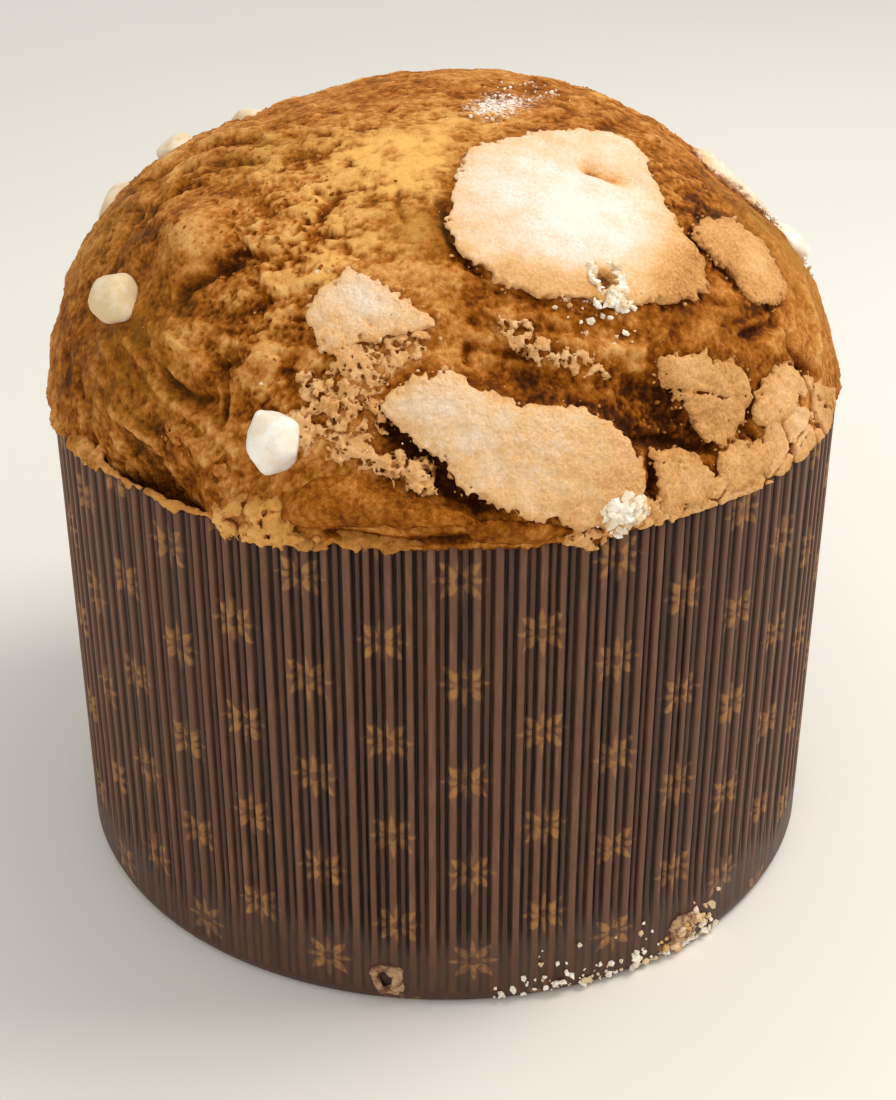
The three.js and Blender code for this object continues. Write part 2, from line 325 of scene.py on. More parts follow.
LINES = lines(
    (1.0, -1.7, (-42, 23.5), (-38, 22), (-36, 21.5), (-33, 22.5)),
    (1.3, 0.9, (-44, 22), (-40.5, 20.5), (-36.5, 19.5), (-31, 18.5), (-27.5, 17)),
    (0.8, -1.6, (-32.5, 26.5), (-31.5, 25.5), (-31, 24), (-30.5, 20.5)),
    (0.8, -1.3, (-32.5, 26.5), (-30, 27.5)),
    (1.0, -1.6, (-62, 18), (-60.5, 16), (-60, 15)),
    (1.0, 0.9, (-45, 26), (-43, 25), (-39.5, 23.5)),
    (0.9, 0.9, (-51, 25), (-46, 23.5)),
    (1.2, 0.8, (-59, 20.5), (-53.5, 19.5)),
    (1.4, 0.9, (-47, 28), (-39, 27), (-34.5, 25.5)),
    (1.6, 0.8, (-56, 23), (-48, 20.5), (-41, 17.5), (-32, 15)),
    (1.3, 0.7, (-54, 16.5), (-46, 15), (-38, 13)),
    (1.2, -0.8, (-52, 22), (-45, 19), (-38, 16), (-30, 13)),
    (1.5, -1.9, (-67.5, 38.5), (-67, 42), (-65, 45.5)),
    (1.6, -1.9, (-44, 33), (-40, 38), (-37, 41.5)),
    (1.0, -1.3, (-37, 41.5), (-32, 41)),
    (1.2, -1.3, (-46, 57.5), (-44.5, 60)),
    (0.9, -1.1, (-28, 59.5), (-26, 60.5)),
    (0.9, -1.1, (-25, 63), (-21, 65)),
    (1.0, -1.0, (-39, 62.5), (-37.5, 65)),
    (1.5, -1.5, (-24, 52.5), (-25, 49)),
    (1.5, -1.0, (-81.5, 42), (-81, 50.5), (-70.5, 58)),
    (1.3, -1.0, (-75, 47), (-54, 56)),
    (1.6, 0.9, (-88, 40), (-86, 50), (-76, 60)),
    (1.0, -1.2, (49, 26.5), (53.5, 26), (58.5, 26)),
    (0.7, -0.8, (45.5, 28.5), (49, 28), (56, 27.5), (64.5, 27)),
    (0.8, 0.6, (46, 30), (54, 29), (62, 28.5)),
    (0.8, -1.3, (59.5, 23.5), (58.5, 21.5), (61, 19.5), (63.5, 16.5)),
    (1.3, -1.4, (60, 18.5), (64, 17)),
    (1.1, -2.0, (26, 18.5), (31, 17.5), (34.5, 16), (39, 14.5)),
    (1.1, -2.0, (28.5, 16), (28, 13.5), (27, 11)),
    (0.9, -1.4, (47, 21.5), (46, 17.5), (44.5, 15)),
    (0.6, -1.2, (45.5, 15.5), (46.5, 13), (47.5, 11.5)),
    (2.2, -2.6, (-6, 22), (-3.5, 20), (-1.5, 17.5), (1.5, 15), (4.5, 13.5)),
    (0.9, -1.2, (4.5, 32), (9, 31), (14.5, 30)),
    (0.8, -1.2, (4.5, 32), (4, 30)),
    (1.2, -1.3, (74.5, 37.5), (71, 32.5), (68.5, 28.5)),
    (1.4, -1.2, (58.5, 40.5), (57.5, 34), (55.5, 31)),
    (1.3, -1.0, (2, 53.5), (3.5, 46.5), (7.5, 41)),
    (0.9, -1.2, (50.5, 26), (54.5, 25.5), (59, 25)),
    (0.9, -1.1, (60, 22.5), (59, 21.5), (59.5, 20.5), (61.5, 17.5)),
    (1.1, -1.0, (51, 19.5), (57, 19), (65, 16.5)),
    (1.6, 1.0, (72, 25.5), (71, 21.5), (68.5, 18.5)),
    (1.0, -0.8, (44, 32.5), (51.5, 29), (60.5, 28)),
    (1.0, -1.3, (-66, 38.5), (-66, 41.5), (-68, 46), (-63, 51.5)),
    (0.9, -1.1, (-44.5, 34), (-40.5, 36.5), (-37.5, 39), (-31, 41)),
    (0.8, -0.8, (-29.5, 53.5), (-26, 52.5), (-22.5, 52)),
    (0.8, 0.7, (-58, 24), (-53.5, 22.5), (-50.5, 21)),
    (0.9, 0.8, (-36.5, 43), (-31.5, 40.5), (-27.5, 37)),
    (0.9, -0.9, (-68, 34.5), (-70.5, 37), (-73, 39.5)),
    (0.7, -0.7, (-26.5, 44.5), (-23.5, 46.5), (-19, 46)),
    (0.8, -0.9, (-8.5, 55.5), (-8.5, 52.5), (-6, 49.5)),
    (0.8, -0.7, (-16, 44), (-11.5, 42.5), (-7.5, 43.5)),
    (0.8, -0.7, (5, 35), (9.5, 34), (15.5, 33), (21, 32)),
    (1.2, 0.7, (18, 31), (23.5, 29.5), (29.5, 28.5)),
    (1.0, 0.8, (-43, 14.5), (-37.5, 14.5), (-31.5, 14.5)),
    (1.2, -2.0, (-14, 9.5), (-6, 9), (3, 9.5)),
    (1.6, -1.2, (120, 34), (134, 40), (150, 38)),
    (1.6, 1.1, (112, 20), (128, 26), (150, 24)),
    (1.4, -1.2, (-110, 22), (-124, 30), (-150, 38), (-176, 52)),
    (1.8, 1.0, (-104, 17), (-122, 24), (-146, 34)),
    (1.5, -1.1, (176, 18), (-164, 15), (-148, 14)),
)


def directions(bearing: Array | float, lift: Array | float) -> Array:
    """Give unit directions from the hub.

    Args:
        bearing: Degrees round from the front, to the right.
        lift: Degrees over level.

    Returns:
        One direction a row.
    """
    turn = np.radians(np.atleast_1d(bearing))
    rise = np.radians(np.atleast_1d(lift))
    turn, rise = np.broadcast_arrays(turn, rise)
    level = np.cos(rise)
    return np.stack([np.sin(turn) * level, -np.cos(turn) * level, np.sin(rise)], axis=-1)


def degrees_between(out: Array, centre: Array) -> Array:
    """Measure the angle from each direction to one direction or to one each."""
    dots = np.sum(out * centre, axis=-1) / np.linalg.norm(centre, axis=-1)
    return np.degrees(np.arccos(np.clip(dots, -1, 1)))


def fold_distance(out: Array, fold: Fold) -> Array:
    """Measure the angle from directions to the line of a fold.

    Args:
        out: Directions, one a row.
        fold: The fold.

    Returns:
        The angles in degrees.
    """
    start = directions(*fold.start)[0]
    run = directions(*fold.end)[0] - start
    share = np.clip((out - start) @ run / (run @ run), 0, 1)
    return degrees_between(out, start + share[:, None] * run)


@dataclass(frozen=True)
class DomeForm:
    """The risen dough as a distance from its hub in every direction."""

    hub: float = 97
    half_width: float = 86
    rise: float = 68.5
    fullness: float = 2.4
    lean: Point = (-3, 9)

    def reach(self, out: Array) -> Array:
        """Give how far the dough stands from the hub.

        Args:
            out: Directions, one a row.

        Returns:
            The distances in millimetres.
        """
        level = np.hypot(out[:, 0], out[:, 1]) / self.half_width
        upright = np.maximum(out[:, 2], 0) / self.rise
        reach = (level**self.fullness + upright**self.fullness) ** (-1 / self.fullness)
        for swell in SWELLS:
            reach += swell.height * swell.nearness(out)
        for fold in FOLDS:
            reach += fold.height * bell(fold_distance(out, fold), fold.width)
        return reach

    def fine_reach(self, out: Array) -> Array:
        """Give the reach with the swells that only the fine surface has."""
        reach = self.reach(out)
        for swell in FINE_SWELLS:
            reach += swell.height * swell.nearness(out)
        return reach

    def stand(self, out: Array, distance: Array) -> Array:
        """Turn directions and distances into places.

        Args:
            out: Directions, one a row.
            distance: Distances from the hub in millimetres.

        Returns:
            The places, one a row.
        """
        points = out * distance[:, None]
        share = (points[:, 2] / self.rise) ** 2
        points[:, 0] += self.lean[0] * share
        points[:, 1] += self.lean[1] * share
        points[:, 2] += self.hub
        return points

    def frame(self, bearing: float, lift: float) -> "TangentFrame":
        """Give the flat frame at a place on the dome."""
        return TangentFrame(self, directions(bearing, lift)[0], bearing)


class TangentFrame:
    """A flat frame on the dome whose places are put back on the dome."""

    def __init__(self, form: DomeForm, out: Array, bearing: float) -> None:
        """Set up the frame.

        Args:
            form: The dome.
            out: Direction of the middle.
            bearing: Bearing of the middle in degrees.
        """
        self.form = form
        self.out = out
        self.distance = form.reach(out[None])[0]
        self.right = directions(bearing + 90, 0)[0]
        self.up = np.cross(out, self.right)

    def place(self, local: Array) -> Array:
        """Put places back on the dome.

        Args:
            local: Across, along and raised in millimetres, one place a row.

        Returns:
            The places in space.
        """
        aim = self.out * self.distance + self.right * local[:, :1] + self.up * local[:, 1:2]
        aim /= np.linalg.norm(aim, axis=1, keepdims=True)
        return self.form.stand(aim, self.form.reach(aim) + local[:, 2])

    def find(self, out: Array) -> Array:
        """Give where directions cross the frame.

        Args:
            out: Directions, one a row.

        Returns:
            Across and along in millimetres, far away for directions behind the frame.
        """
        facing = out @ self.out
        scale = self.distance / np.maximum(facing, 0.2)
        flat = np.stack([out @ self.right * scale, out @ self.up * scale], axis=1)
        flat[facing < 0.2] = 1e3
        return flat


DOME = DomeForm()


# ---- Meshes ----


def zip_rings(counts: Sequence[int]) -> Array:
    """Join rings of evenly spaced points into a closed skin.

    Args:
        counts: Points in each ring, in order, 1 for a pole at either end.

    Returns:
        The triangles.
    """
    faces: list[tuple[int, int, int]] = []
    start = 0
    for low, high in zip(counts, counts[1:]):
        above = start + low
        low_steps = 0 if low == 1 else low
        high_steps = 0 if high == 1 else high
        i = j = 0
        while i < low_steps or j < high_steps:
            low_next = (i + 1) / low if i < low_steps else math.inf
            high_next = (j + 1) / high if j < high_steps else math.inf
            a = start + i % low
            b = above + j % high
            if low_next <= high_next:
                faces.append((a, start + (i + 1) % low, b))
                i += 1
            else:
                faces.append((a, above + (j + 1) % high, b))
                j += 1
        start = above
    return np.array(faces)


def skin(solid: Array, origin: Array, step: float) -> tuple[Array, Array]:
    """Wrap the places of a grid where a field is above nought.

    Args:
        solid: The field at the grid's points.
        origin: Place of the grid's first point in millimetres.
        step: Spacing of the grid in millimetres.

    Returns:
        The points of the skin and its quads, facing out.
    """
    solid = np.pad(solid, 1, constant_values=-1.0)
    shape = np.array(solid.shape)
    total = np.zeros((solid.size, 3))
    count = np.zeros(solid.size)
    quads = []
    for axis in range(3):
        unit = np.eye(3, dtype=int)[axis]
        side = np.eye(3, dtype=int)[(axis + 1) % 3]
        up = np.eye(3, dtype=int)[(axis + 2) % 3]
        low = np.take(solid, range(shape[axis] - 1), axis)
        high = np.take(solid, range(1, shape[axis]), axis)
        base = np.argwhere((low > 0) != (high > 0))
        first = solid[tuple(base.T)]
        second = solid[tuple((base + unit).T)]
        spot = base + unit * (first / (first - second))[:, None]
        ring = [base, base - side, base - side - up, base - up]
        ids = np.stack([np.ravel_multi_index(tuple(cell.T), shape) for cell in ring], axis=1)
        for cell in ids.T:
            np.add.at(total, cell, spot)
            np.add.at(count, cell, 1)
        quads.append(np.where((first > 0)[:, None], ids, ids[:, ::-1]))
    faces = np.concatenate(quads)
    used, index = np.unique(faces, return_inverse=True)
    points = total[used] / count[used, None]
    return origin + (points - 1) * step, index.reshape(-1, 4)


def big_parts(points: Array, faces: Array, least: int) -> tuple[Array, Array]:
    """Drop the loose scraps of a mesh.

    Args:
        points: Its points.
        faces: Its faces.
        least: Fewest points that a part may have.

    Returns:
        The points and faces that stay.
    """
    label = np.arange(len(points))
    while True:
        lowest = label[faces].min(axis=1)
        fresh = label.copy()
        for corner in faces.T:
            np.minimum.at(fresh, corner, lowest)
        fresh = fresh[fresh]
        if np.array_equal(fresh, label):
            break
        label = fresh
    sizes = np.bincount(label, minlength=len(points))
    keep = sizes[label] >= least
    index = np.cumsum(keep) - 1
    return points[keep], index[faces[keep[faces[:, 0]]]]


def make_piece(name: str, points: Array, faces: Array, masks: Masks | None = None) -> Piece:
    """Make a smooth mesh object.

    Args:
        name: Name of the piece.
        points: Its points in millimetres.
        faces: Its triangles or quads.
        masks: Values that its finish reads at each point.

    Returns:
        The object.
    """
    mesh = bpy.data.meshes.new(name)
    sides = faces.shape[1]
    mesh.vertices.add(len(points))
    mesh.vertices.foreach_set("co", (points * MM).astype(np.float32).ravel())
    mesh.loops.add(faces.size)
    mesh.loops.foreach_set("vertex_index", faces.astype(np.int32).ravel())
    mesh.polygons.add(len(faces))
    mesh.polygons.foreach_set("loop_start", np.arange(0, faces.size, sides, dtype=np.int32))
    mesh.update(calc_edges=True)
    mesh.shade_smooth()
    for mask, values in (masks or {}).items():
        layer = mesh.attributes.new(mask, "FLOAT", "POINT")
        layer.data.foreach_set("value", np.asarray(values, np.float32))
    piece = bpy.data.objects.new(name, mesh)
    bpy.context.scene.collection.objects.link(piece)
    return piece


def crust_masks(bake: Array, gold: float = 0.0) -> Masks:
    """Give the values that the crust's finish reads where it has no olive tint and no dust."""
    none = np.zeros(len(bake))
    return {"bake": bake, "gold": none + gold, "olive": none, "dust": none}


def glaze_masks(toast_and_shade: Array, grainy: float = 0.0) -> Masks:
    """Give the values that the glaze's finish reads."""
    return {"toast_and_shade": toast_and_shade, "grainy": np.full(len(toast_and_shade), grainy)}


def hand_over(piece: Piece, material: Material, nodes: Sequence[str] = ()) -> None:
    """Dress a piece, fix it to the body and hide the frame's nodes that it replaces.

    Args:
        piece: The piece.
        material: Its finish.
        nodes: The frame's nodes that it replaces.
    """
    piece.data.materials.append(material)
    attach(piece, BODY)
    if nodes:
        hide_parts(*nodes)
    log.info("%s: %d points, %d faces", piece.name, len(piece.data.vertices), len(piece.data.polygons))


# ---- Shader building ----


def linear(colour: Colour) -> tuple[float, float, float, float]:
    """Turn a display colour from 0 to 255 into a linear one."""
    parts = [c / 255 for c in colour]
    return (*[p / 12.92 if p <= 0.04045 else ((p + 0.055) / 1.055) ** 2.4 for p in parts], 1.0)


class Bench:
    """A node tree being laid out, of a material or of a group."""

    def __init__(self, tree: NodeTree) -> None:
        """Take the tree."""
        self.tree = tree

    def node(self, kind: str, settings: dict | None = None, inputs: dict | None = None) -> bpy.types.Node:
        """Add a node.

        Args:
            kind: Its type.
            settings: Properties to set.
            inputs: Sockets to set or, where the value is a socket, to link.

        Returns:
            The node.
        """
        node = self.tree.nodes.new(kind)
        for key, value in (settings or {}).items():
            setattr(node, key, value)
        for key, value in (inputs or {}).items():
            self.feed(node.inputs[key], value)
        return node

    def feed(self, target: Socket, value: object) -> None:
        """Link a socket to another, or set its value."""
        if isinstance(value, Socket):
            self.tree.links.new(value, target)
        else:
            target.default_value = value

    def math(self, operation: str, a: object, b: object = 0.0, clamp: bool = False) -> Socket:
        """Add a sum of one or two values."""
        node = self.node("ShaderNodeMath", {"operation": operation, "use_clamp": clamp}, {0: a, 1: b})
        return node.outputs[0]

    def plus(self, a: object, b: object, clamp: bool = False) -> Socket:
        """Add the sum of two values."""
        return self.math("ADD", a, b, clamp)

    def less(self, a: object, b: object) -> Socket:
        """Add the first value less the second."""
        return self.math("SUBTRACT", a, b)

    def times(self, a: object, b: object) -> Socket:
        """Add the product of two values."""
        return self.math("MULTIPLY", a, b)

    def mix(self, share: object, a: object, b: object, blend: str = "MIX") -> Socket:
        """Add a mix of two colours."""
        settings = {"data_type": "RGBA", "blend_type": blend, "clamp_factor": True}
        node = self.node("ShaderNodeMix", settings, {0: share, 6: a, 7: b})
        return node.outputs[2]

    def spread(self, value: object, low: float, high: float, start: float = 0.0, end: float = 1.0) -> Socket:
        """Add a smooth change of range, from start at low to end at high."""
        inputs = {0: value, 1: low, 2: high, 3: start, 4: end}
        node = self.node("ShaderNodeMapRange", {"interpolation_type": "SMOOTHSTEP"}, inputs)
        return node.outputs[0]

    def mask(self, name: str) -> Socket:
        """Read a value that the mesh carries."""
        return self.node("ShaderNodeAttribute", {"attribute_name": name}).outputs["Fac"]

    def place(self) -> Socket:
        """Read the place on the object in millimetres."""
        where = self.node("ShaderNodeTexCoord").outputs["Object"]
        scaled = self.node("ShaderNodeVectorMath", {"operation": "SCALE"}, {0: where, "Scale": 1 / MM})
        return scaled.outputs[0]

    def texture(self, where: object, scale: object, detail: float, rough: float = 0.5) -> Socket:
        """Add layered noise with a number of lumps to the millimetre."""
        inputs = {"Vector": where, "Scale": scale, "Detail": detail, "Roughness": rough}
        return self.node("ShaderNodeTexNoise", {}, inputs).outputs[0]

    def noise(self, where: object, size: float, detail: float = 3.0, rough: float = 0.55) -> Socket:
        """Add layered noise with lumps of a size in millimetres."""
        return self.texture(where, 1 / size, detail, rough)

    def bump(self, shader: bpy.types.Node, strength: float, depth: float, height: object) -> None:
        """Raise a shader's surface by a height that is worth a depth in millimetres."""
        inputs = {"Strength": strength, "Distance": depth * MM, "Height": height}
        self.feed(shader.inputs["Normal"], self.node("ShaderNodeBump", {}, inputs).outputs[0])

    def ramp(self, value: object, stops: Sequence[tuple[float, Colour]]) -> Socket:
        """Add a run of colours.

        Args:
            value: What is looked up.
            stops: Places from 0 to 1, each with its display colour.

        Returns:
            The colour.
        """
        node = self.node("ShaderNodeValToRGB", {}, {0: value})
        band = node.color_ramp
        while len(band.elements) < len(stops):
            band.elements.new(0.5)
        for element, (spot, colour) in zip(band.elements, stops):
            element.position = spot
            element.color = linear(colour)
        return node.outputs[0]


class Groups:
    """Effects that several finishes use, each built once."""

    made: dict[str, NodeTree] = {}

    @classmethod
    def tree(cls, name: str, inputs: dict[str, float], outputs: Sequence[str], fill: Callable) -> NodeTree:
        """Build a group once.

        Args:
            name: Name of the group.
            inputs: Its number inputs and their usual values. A vector named Place comes first.
            outputs: Its outputs.
            fill: Lays out the inside and gives the outputs' sockets.

        Returns:
            The group.
        """
        if name in cls.made:
            return cls.made[name]
        tree = bpy.data.node_groups.new(name, "ShaderNodeTree")
        tree.interface.new_socket("Place", in_out="INPUT", socket_type="NodeSocketVector")
        for key, value in inputs.items():
            socket = tree.interface.new_socket(key, in_out="INPUT", socket_type="NodeSocketFloat")
            socket.default_value = value
        for key in outputs:
            tree.interface.new_socket(key, in_out="OUTPUT", socket_type="NodeSocketFloat")
        bench = Bench(tree)
        ins = tree.nodes.new("NodeGroupInput").outputs
        outs = tree.nodes.new("NodeGroupOutput").inputs
        for key, socket in fill(bench, ins).items():
            tree.links.new(socket, outs[key])
        cls.made[name] = tree
        return tree

    @classmethod
    def use(cls, bench: Bench, tree: NodeTree, inputs: dict) -> Sockets:
        """Place a group in a material and give its outputs."""
        return bench.node("ShaderNodeGroup", {"node_tree": tree}, inputs).outputs

    @classmethod
    def mottle(cls) -> NodeTree:
        """Blotches of two sizes, as baking leaves them."""

        def fill(bench: Bench, ins: Sockets) -> dict:
            """Lay out the blotches."""
            coarse = bench.texture(ins["Place"], ins["Coarse"], 4.0)
            fine = bench.texture(ins["Place"], ins["Fine"], 3.0)
            return {"Blotch": bench.spread(coarse, 0.3, 0.7), "Fleck": bench.spread(fine, 0.32, 0.68)}

        return cls.tree("baked_mottle", {"Coarse": 0.15, "Fine": 0.8}, ("Blotch", "Fleck"), fill)

    @classmethod
    def crystals(cls) -> NodeTree:
        """Fine grains of sugar, as a height and as a mask of the bright ones."""

        def fill(bench: Bench, ins: Sockets) -> dict:
            """Lay out the grains."""
            inputs = {"Vector": ins["Place"], "Scale": ins["Density"], "Randomness": 1.0}
            grains = bench.node("ShaderNodeTexVoronoi", {"feature": "F1"}, inputs)
            level = bench.node("ShaderNodeSeparateColor", {}, {0: grains.outputs["Color"]}).outputs[0]
            height = bench.less(1.0, grains.outputs["Distance"])
            picked = bench.math("GREATER_THAN", level, ins["Rarity"])
            core = bench.spread(grains.outputs["Distance"], 0.5, 0.2)
            return {"Height": bench.times(height, level), "Bright": bench.times(picked, core)}

        return cls.tree("sugar_crystals", {"Density": 1.8, "Rarity": 0.75}, ("Height", "Bright"), fill)

    @classmethod
    def crumb(cls) -> NodeTree:
        """The rough surface of baked dough, as a height."""

        def fill(bench: Bench, ins: Sockets) -> dict:
            """Lay out two sizes of grain."""
            coarse = bench.texture(ins["Place"], ins["Coarse"], 5.0, 0.66)
            fine = bench.texture(ins["Place"], ins["Fine"], 2.0)
            return {"Height": bench.plus(coarse, bench.times(fine, 0.3))}

        return cls.tree("crumb_grain", {"Coarse": 0.8, "Fine": 2.6}, ("Height",), fill)


# ---- Finishes ----


@dataclass(frozen=True)
class Finish:
    """What every finish shares: a name and how rough it is."""

    name: str
    roughness: float = 0.7

    def start(self) -> tuple[Material, Bench, bpy.types.Node]:
        """Make the material with its shader.

        Returns:
            The material, its bench and its shader.
        """
        material = bpy.data.materials.new(self.name)
        material.use_nodes = True
        bench = Bench(material.node_tree)
        shader = material.node_tree.nodes["Principled BSDF"]
        shader.inputs["Roughness"].default_value = self.roughness
        return material, bench, shader


@dataclass(frozen=True)
class CrustFinish(Finish):
    """Browned dough: from golden where it split open to dark, with painted shade in the folds and pits."""

    roughness: float = 0.62
    specular: float = 0.06
    bump: float = 0.8
    browns: tuple[tuple[float, Colour], ...] = (
        (0.0, (236, 184, 114)),
        (0.2, (222, 160, 88)),
        (0.4, (196, 126, 56)),
        (0.6, (158, 90, 16)),
        (0.8, (110, 54, 3)),
        (1.0, (60, 25, 1)),
    )
    gold: Colour = (246, 188, 104)
    olive: Colour = (176, 128, 50)
    dusting: Colour = (252, 240, 230)

    def material(self) -> Material:
        """Build the material.

        Returns:
            The material.
        """
        material, bench, shader = self.start()
        where = bench.place()
        blotch, fleck = Groups.use(bench, Groups.mottle(), {"Place": where, "Coarse": 0.22, "Fine": 0.9})[:2]
        height = Groups.use(bench, Groups.crumb(), {"Place": where})[0]
        wobble = bench.plus(bench.times(blotch, 0.16), bench.times(fleck, 0.14))
        # Painted shade and light at the crumb's scale: darker in the grain's pits, lighter on its crests.
        wobble = bench.less(wobble, bench.spread(height, 0.45, 0.85, -0.1, 0.1))
        bake = bench.plus(bench.mask("bake"), bench.less(wobble, 0.15))
        brown = bench.ramp(bake, self.browns)
        golden = bench.mix(bench.mask("gold"), brown, linear(self.gold))
        tinted = bench.mix(bench.mask("olive"), golden, linear(self.olive))
        dust = bench.spread(bench.plus(bench.mask("dust"), bench.noise(where, 0.9, 4.0)), 0.85, 1.15)
        bench.feed(shader.inputs["Base Color"], bench.mix(dust, tinted, linear(self.dusting)))
        rough = bench.spread(bake, 0.2, 0.9, self.roughness + 0.08, self.roughness - 0.08)
        bench.feed(shader.inputs["Roughness"], rough)
        shader.inputs["Specular IOR Level"].default_value = self.specular
        bench.bump(shader, self.bump, 0.8, height)
        return material


@dataclass(frozen=True)
class GlazeFinish(Finish):
    """The baked almond glaze: pale where sugar lies on it, tan where it browned, with painted shade under its
    edges, in its dents and in its pits.
    """

    roughness: float = 0.72
    bump: float = 0.75
    toasts: tuple[tuple[float, Colour], ...] = (
        (0.0, (252, 240, 228)),
        (0.22, (247, 214, 180)),
        (0.4, (240, 192, 136)),
        (0.55, (229, 173, 109)),
        (0.75, (202, 142, 74)),
        (1.0, (118, 66, 20)),
    )
    sparkle: Colour = (248, 232, 210)

    def material(self) -> Material:
        """Build the material.

        Returns:
            The material.
        """
        material, bench, shader = self.start()
        where = bench.place()
        blotch, fleck = Groups.use(bench, Groups.mottle(), {"Place": where, "Coarse": 0.22, "Fine": 1.6})[:2]
        grain = Groups.use(bench, Groups.crumb(), {"Place": where, "Coarse": 1.3, "Fine": 4.2})[0]
        speckle = bench.spread(bench.mask("toast_and_shade"), 0.25, 0.6, 0.06, 0.14)
        wobble = bench.plus(bench.times(blotch, 0.12), bench.times(fleck, speckle))
        # Painted shade and light at the grain's scale: darker in the grain's pits, lighter on its crests.
        wobble = bench.less(wobble, bench.spread(grain, 0.45, 0.85, -0.07, 0.07))
        toast_and_shade = bench.plus(bench.mask("toast_and_shade"), bench.less(wobble, 0.1))
        crystal = Groups.use(bench, Groups.crystals(), {"Place": where, "Density": 1.5, "Rarity": 0.55})
        glint = bench.times(crystal["Bright"], bench.mask("grainy"))
        shine = bench.times(glint, 0.2)
        colour = bench.mix(shine, bench.ramp(toast_and_shade, self.toasts), linear(self.sparkle))
        bench.feed(shader.inputs["Base Color"], colour)
        bench.feed(shader.inputs["Roughness"], bench.spread(glint, 0.0, 1.0, self.roughness, 0.62))
        shader.inputs["Specular IOR Level"].default_value = 0.2
        height = bench.plus(grain, bench.times(crystal["Height"], bench.mask("grainy")))
        bench.bump(shader, self.bump, 0.5, height)
        return material


@dataclass(frozen=True)
class SugarFinish(Finish):
    """Pressed white pearl sugar, turned tan by its warmth mask and a soft cloud: a tint of its own, and
    painted shade on the left nugget.
    """

    roughness: float = 0.6
    bump: float = 0.25
    pale: Colour = (254, 248, 238)
    warm: Colour = (224, 196, 152)

    def material(self) -> Material:
        """Build the material.

        Returns:
            The material.
        """
        material, bench, shader = self.start()
        where = bench.place()
        warmth_and_shade = bench.mask("warmth_and_shade")
        cloud = bench.plus(warmth_and_shade, bench.spread(bench.noise(where, 3.5), 0.35, 0.7, 0.0, 0.5), clamp=True)
        bench.feed(shader.inputs["Base Color"], bench.mix(cloud, linear(self.pale), linear(self.warm)))
        low, high = self.roughness - 0.08, self.roughness + 0.1
        bench.feed(shader.inputs["Roughness"], bench.spread(bench.noise(where, 0.8), 0.3, 0.7, low, high))
        shader.inputs["Subsurface Weight"].default_value = 0.12
        shader.inputs["Subsurface Radius"].default_value = (0.003, 0.0022, 0.0016)
        height = Groups.use(bench, Groups.crumb(), {"Place": where, "Coarse": 0.9, "Fine": 3.0})[0]
        bench.bump(shader, self.bump, 0.3, height)
        return material


